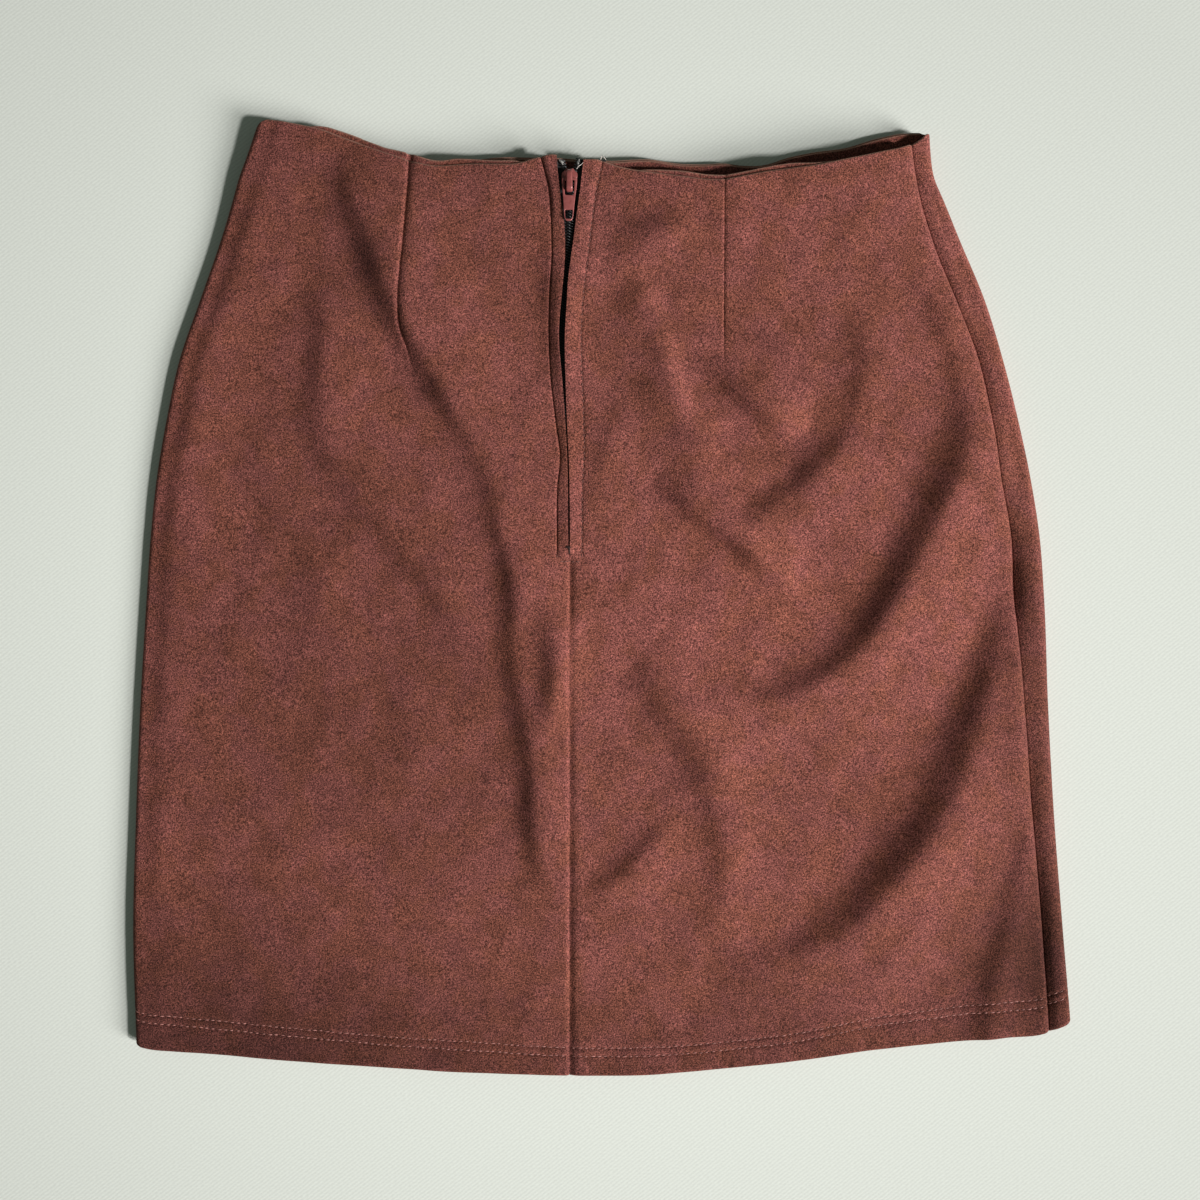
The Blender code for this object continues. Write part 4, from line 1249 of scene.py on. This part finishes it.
def roundedCorners(corners, radius):
    # a closed outline with each corner (x, y) cut round
    points = []
    corners = np.array(corners, float)
    for index, corner in enumerate(corners):
        before, after = corners[index - 1], corners[(index + 1) % len(corners)]
        shorter = min(np.linalg.norm(before - corner), np.linalg.norm(after - corner))
        cut = min(radius, shorter / sideShare)
        first = corner + unit(before - corner) * cut
        last = corner + unit(after - corner) * cut
        for share in np.linspace(0, 1, cornerSteps):
            points.append((1 - share) ** 2 * first + 2 * share * (1 - share) * corner + share**2 * last)
    return np.array(points)


def flatPlate(outlines, thick, bevel):
    # a plate with rounded rims from its outline and those of its windows, lying on z = 0
    drawn = bpy.data.curves.new("plate", "CURVE")
    drawn.dimensions = "2D"
    drawn.fill_mode = "BOTH"
    drawn.extrude = (thick / 2 - bevel) * mm
    drawn.bevel_depth = bevel * mm
    drawn.bevel_resolution = 3
    drawn.offset = -bevel * mm
    for outline in outlines:
        spline = drawn.splines.new("POLY")
        spline.points.add(len(outline) - 1)
        spline.use_cyclic_u = True
        for point, (x, y) in zip(spline.points, outline):
            point.co = (x * mm, y * mm, 0, 1)
    shape = addObject("plate", drawn)
    bpy.context.view_layer.update()
    mesh = bpy.data.meshes.new_from_object(shape.evaluated_get(bpy.context.evaluated_depsgraph_get()))
    bpy.data.objects.remove(shape)
    points = np.array([vertex.co for vertex in mesh.vertices]) / mm
    return points, [list(face.vertices) for face in mesh.polygons]


def placed(part, move, upright=False):
    # moves a plate; upright turns its outline from (x, y) to (y, z)
    points, faces = part
    if upright:
        points = points[:, [2, 0, 1]]
    return points + np.array(move), faces


def hardPiece(name, part, material, body="skirt"):  # one welded mesh of a part with crisp edges
    piece = newMesh(name, *part, material, body, 50)
    shape = bmesh.new()
    shape.from_mesh(piece.data)
    bmesh.ops.remove_doubles(shape, verts=shape.verts, dist=0.00001)
    bmesh.ops.recalc_face_normals(shape, faces=shape.faces)
    shape.to_mesh(piece.data)
    shape.free()
    return piece


# The slider, from its middle: its body narrows to a tail below, and to a nose above its shoulders.
sliderLook = {
    "long": 10.8,
    "shoulder": 3.6,
    "nose": 1.6,
    "tail": 1.4,
    "notch": 0.7,  # between the two halves of its nose
    "overTape": 1.3,
    "upperPlate": 0.9,
    "lowerPlate": 0.7,
    "wallHalf": 0.45,
    "postHalf": 0.7,
    "wallOff": 2.7,
    "bridge": 3.0,
    "bridgeOutside": [(-5.5, -0.6), (-5.5, 0.9), (-4.3, 2.5), (2.9, 2.45), (4.5, 1.3), (4.8, -0.6)],
    "bridgeInside": [(3.6, -0.6), (3.3, 0.7), (2.4, 1.55), (-3.7, 1.6), (-4.5, 0.8), (-4.5, -0.6)],
}


def bar(half, bottom, top, radius):  # outline of an upright bar
    return roundedCorners([(-half, bottom), (half, bottom), (half, top), (-half, top)], radius)


def zipSlider():
    look = sliderLook
    low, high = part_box("zip_slider")
    x, y, bottom = (low.x + high.x) / 2 / mm, zipper["sliderY"], low.z / mm
    half, shoulder, nose, tail = look["long"] / 2, look["shoulder"], look["nose"], look["tail"]
    right = [(tail, -half), (tail, 0.4), (shoulder - 0.2, 0.6), (shoulder, 1.6), (shoulder - 0.1, 3.2)]
    right += [(nose + 0.6, 4.3), (nose, half)]
    body = roundedCorners(mirrored(right, (0, half - look["notch"])), 0.7)
    upper = tapeTop(np.array(y)) + look["overTape"]
    postHigh = upper - bottom
    wall = bar(look["wallHalf"], 1 - half, 2.6, 0.4)
    post = bar(look["postHalf"], 2.2, 4.9, 0.5)
    bridge = roundedCorners(look["bridgeOutside"] + look["bridgeInside"], 1.0)
    plates = (  # outline, thickness, bevel, and the place of its middle
        (body, look["upperPlate"], 0.3, (x, y, upper + look["upperPlate"] / 2)),
        (body, look["lowerPlate"], 0.2, (x, y, bottom + look["lowerPlate"] / 2)),
        (wall, 0.9, 0.3, (x - look["wallOff"], y, upper - 0.25)),
        (wall, 0.9, 0.3, (x + look["wallOff"], y, upper - 0.25)),
        (post, postHigh, 0.15, (x, y, bottom + postHigh / 2 + 0.2)),
    )
    parts = [placed(flatPlate([shape], thick, bevel), middle) for shape, thick, bevel, middle in plates]
    onTop = (x, y, upper + look["upperPlate"])
    parts.append(placed(flatPlate([bridge], look["bridge"], 0.7), onTop, upright=True))
    return hardPiece("slider", gather(parts), paint)


# The right half of the pull tab's outline, from its hinge, and the upper and the lower right corner
# of each of its two windows.
pullLook = {
    "thick": 1.0,
    "bevel": 0.28,
    "askew": -1.5,  # turned a little, in degrees
    "slope": 0.12,  # and leaning on the coil
    "outline": [
        (3.4, 0.5),
        (3.45, -0.6),
        (3.3, -3.0),
        (2.85, -7.0),
        (2.55, -10.1),
        (2.25, -14.0),
        (1.9, -17.0),
        (1.2, -18.1),
    ],
    "outlineRadius": 0.8,
    "windows": (((2.25, -0.35), (1.95, -6.9), 0.7), ((1.75, -13.3), (1.5, -17.2), 0.6)),
}


def zipPull():
    look = pullLook
    low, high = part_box("zip_pull")
    shapes = [roundedCorners(mirrored(look["outline"])[::-1], look["outlineRadius"])]
    for (wide, above), (narrow, below), radius in look["windows"]:
        window = [(-wide, above), (wide, above), (narrow, below), (-narrow, below)]
        shapes.append(roundedCorners(window, radius))
    points, faces = flatPlate(shapes, look["thick"], look["bevel"])
    x, y, z = points.T
    turn = math.radians(look["askew"])
    turnedX = x * math.cos(turn) - y * math.sin(turn)
    turnedY = x * math.sin(turn) + y * math.cos(turn)
    turned = np.stack([turnedX, turnedY, z + look["slope"] * y], axis=1)
    middle = ((low.x + high.x) / 2 / mm, zipper["sliderY"], (low.z + high.z) / 2 / mm)
    return hardPiece("pull", placed((turned, faces), middle), paint, "pull_tab")


stopShapes = {
    "left": [(-1.2, 1.2), (-1.3, 0.4), (0.4, -1.4), (1.1, -0.9), (0.9, 0.2), (-0.3, 1.3)],
    "right": [(-0.8, -1.2), (0.2, -1.3), (0.8, 0.6), (0.7, 1.3), (0.1, 1.2), (-0.7, -0.2)],
}


def zipStops():
    made = []
    for (hand, shape), (x, y) in zip(stopShapes.items(), zipper["stopsAt"]):
        low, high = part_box(f"zip_stop_{hand}")
        plate = flatPlate([roundedCorners(shape, 0.5)], (high.z - low.z) / mm, 0.4)
        middle = (x, y, (low.z + high.z) / 2 / mm)
        made.append(hardPiece(f"stop_{hand}", placed(plate, middle), stopGlintFinish))
    return made


tapeLeft, tapeRight = zipTape("left", "tape_left"), zipTape("right", "tape_right")
coil = zipCoil()
slider, pull = zipSlider(), zipPull()
stopLeft, stopRight = zipStops()
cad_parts["zip_stop_bottom"].data.materials.clear()
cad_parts["zip_stop_bottom"].data.materials.append(stopGlintFinish)
print("zip is built")

stitching = {
    "hem": (2.9, 2.0, 0.26),  # pitch, length and radius of the hem's stitches
    "zip": (2.6, 1.9, 0.2),  # of the zip's topstitching
    "bar": (1.9, 1.7, 0.24),  # and of the bar below it
    "barInset": 0.6,  # from the topstitching, at the bar's ends
    "zipFrom": 1.0,  # above the bar
    "zipTo": 195.5,
    "zipStep": 0.8,
    "sunk": 0.10,  # of a stitch's ends below the cloth
    "proud": 0.16,  # of its middle above the cloth
    "wander": 0.2,  # of a stitch's beginning
    "lengths": (0.7, 1.05),  # shares of its length, at random
    "aside": 0.15,  # by which it may lie beside its line
    "hole": 0.3,
    "holeShades": (0.6, 1.1),  # shares of its size, at random
    "holeOver": 0.04,  # of the top of the painted shade in a needle hole, above the cloth
    "knot": (
        ((-17.3, 22.6), (-14.9, 22.9)),
        ((-16.2, 23.4), (-16.0, 20.0)),
        ((-16.9, 23.2), (-15.3, 21.9)),
    ),  # the dark thread that closes the foot of the zip, from and to
    "knotRadius": 0.42 * np.array([0.5, 1, 1.1, 1, 0.4]),
}


def alongPath(values, at, along):  # a path's points or normals at some distances from its start
    return np.stack([np.interp(along, at, values[:, k]) for k in range(3)], axis=-1)


def stitchRun(path, normal, size, seed):
    # stitches along a line of surface points, each a short bowed thread with sunk ends, and after each a
    # small near-black piece of painted shade where its needle hole is
    pitch, long, thick = size
    steps = np.linalg.norm(np.diff(path, axis=0), axis=1)
    at = np.concatenate([[0], np.cumsum(steps)])
    rng = np.random.default_rng(seed)
    stitches, holeShades = [], []

    def thread(low, high, rise, radius, aside=0.0):
        along = np.linspace(low, high, len(rise))
        points, up = alongPath(path, at, along), unit(alongPath(normal, at, along))
        across = np.cross(up, unit(np.gradient(points, axis=0)))
        return tube(points + up * rise[:, None] + across * aside, radius, up)

    bow = np.sin(np.linspace(0, math.pi, 6))
    bowed = bow * (stitching["sunk"] + stitching["proud"]) - stitching["sunk"]
    bead = np.array([0.3, 1.0, 1.0, 0.3])
    wander, sideways = stitching["wander"], stitching["aside"]
    for start in np.arange(pitch * 0.3, at[-1] - pitch, pitch):
        begin = start + rng.uniform(-wander, wander)
        end = begin + long * rng.uniform(*stitching["lengths"])
        aside = rng.uniform(-sideways, sideways)
        stitches.append(thread(begin, end, bowed, thick * (0.7 + 0.3 * bow), aside))
        hole = stitching["hole"] * rng.uniform(*stitching["holeShades"])
        level = np.full(len(bead), stitching["holeOver"] - hole)
        holeShades.append(thread(end, start + pitch, level, hole * bead))
    return stitches, holeShades


def surfaceAt(x, y):  # points of the back's outer side, and its normals there
    near = 0.3
    slopeX = (cover(x + near, y) - cover(x - near, y)) / (2 * near)
    slopeY = (cover(x, y + near) - cover(x, y - near)) / (2 * near)
    normal = unit(np.stack([-slopeX, -slopeY, np.ones_like(x)], axis=-1))
    return np.stack([x, y, cover(x, y)], axis=-1) + normal * halfWall, normal


def sewnPieces(name, runs, thread):  # the threads of some runs of stitches, and the painted shade in their needle holes
    stitches, holeShades = (sum(parts, []) for parts in zip(*runs))
    return (
        newMesh(f"{name}_stitches", *gather(stitches), thread),
        newMesh(f"{name}_holes", *gather(holeShades), holeShade),
    )


def hemStitches():
    runs = []
    sheets = ((leftGrid, leftNormal), (rightGrid, rightNormal), (frontGrid, frontNormal))
    for number, (grid, normal) in enumerate(sheets):
        for distance, row in hemRow.items():
            shown = normal[row][:, 2] > 0.2
            surface = (grid[row] + normal[row] * halfWall)[shown]
            seed = number * 10 + int(distance)
            runs.append(stitchRun(surface, normal[row][shown], stitching["hem"], seed))
    return sewnPieces("hem", runs, hemThread)


def zipStitches():
    runs = []
    foot, inset = sewn["zipEnd"], stitching["barInset"]
    for hand in ("left", "right"):
        y = np.arange(foot + stitching["zipFrom"], stitching["zipTo"], stitching["zipStep"])
        runs.append(stitchRun(*surfaceAt(stitchLine(hand, y), y), stitching["zip"], 40 + len(hand)))
    x = np.linspace(stitchLine("left", foot) + inset, stitchLine("right", foot) - inset, 16)
    bar = stitchRun(*surfaceAt(x, np.full(len(x), foot)), stitching["bar"], 50)[0]
    knot = []
    for low, high in stitching["knot"]:
        path = surfaceAt(*np.linspace(low, high, len(stitching["knotRadius"])).T)[0]
        knot.append(tube(path, stitching["knotRadius"], alongZ))
    return sewnPieces("zip", [*runs, (bar, knot)], bodyThread)


# The frayed ends of sewing thread at the top of the zip, each a run of points.
looseRuns = table("thread x y over", [
    (1, -12.3, 192.6, 0.5),
    (1, -11.5, 193.4, 1.3),
    (1, -10.4, 194.2, 1.1),
    (1, -9.4, 195.0, 0.3),
    (2, -1.5, 196.7, 0.0),
    (2, -0.9, 198.1, 1.0),
    (2, 0.0, 197.4, 1.4),
    (2, 0.9, 196.4, 0.2),
])
looseRadius = (0.14, 0.09)  # from its root to its tip
loosePoints = 14


def looseEnds():
    parts = []
    for run in foldsOf(looseRuns, "thread"):
        above = cover(run["x"], run["y"]) + halfWall + run["over"]
        route = np.stack([run["x"], run["y"], above], axis=-1)
        at = np.linspace(0, 1, len(route))
        share = np.linspace(0, 1, loosePoints)
        points = np.stack([smooth(route[:, k], at, share) for k in range(3)], axis=-1)
        parts.append(tube(points, np.linspace(*looseRadius, loosePoints), alongZ))
    return newMesh("loose_thread", *gather(parts), looseThread)


sewing = (*hemStitches(), *zipStitches(), looseEnds())
print("sewing is done")

# What each piece stands for.
standsFor = (
    (backLeft, "back_left_panel", "suede"),
    (backRight, "back_right_panel", "suede"),
    (front, "front_panel", "suede"),
    (facingLeft, "facing_back_left", "facing"),
    (facingRight, "facing_back_right", "facing"),
    (facingUnder, "facing_front", "facing"),
    (tapeLeft, "zip_tape_left", "tape"),
    (tapeRight, "zip_tape_right", "tape"),
    (slider, "zip_slider", "paint"),
    (pull, "zip_pull", "paint"),
    (stopLeft, "zip_stop_left", "stop"),
    (stopRight, "zip_stop_right", "stop"),
)
for piece, node, finish in standsFor:
    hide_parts(node)
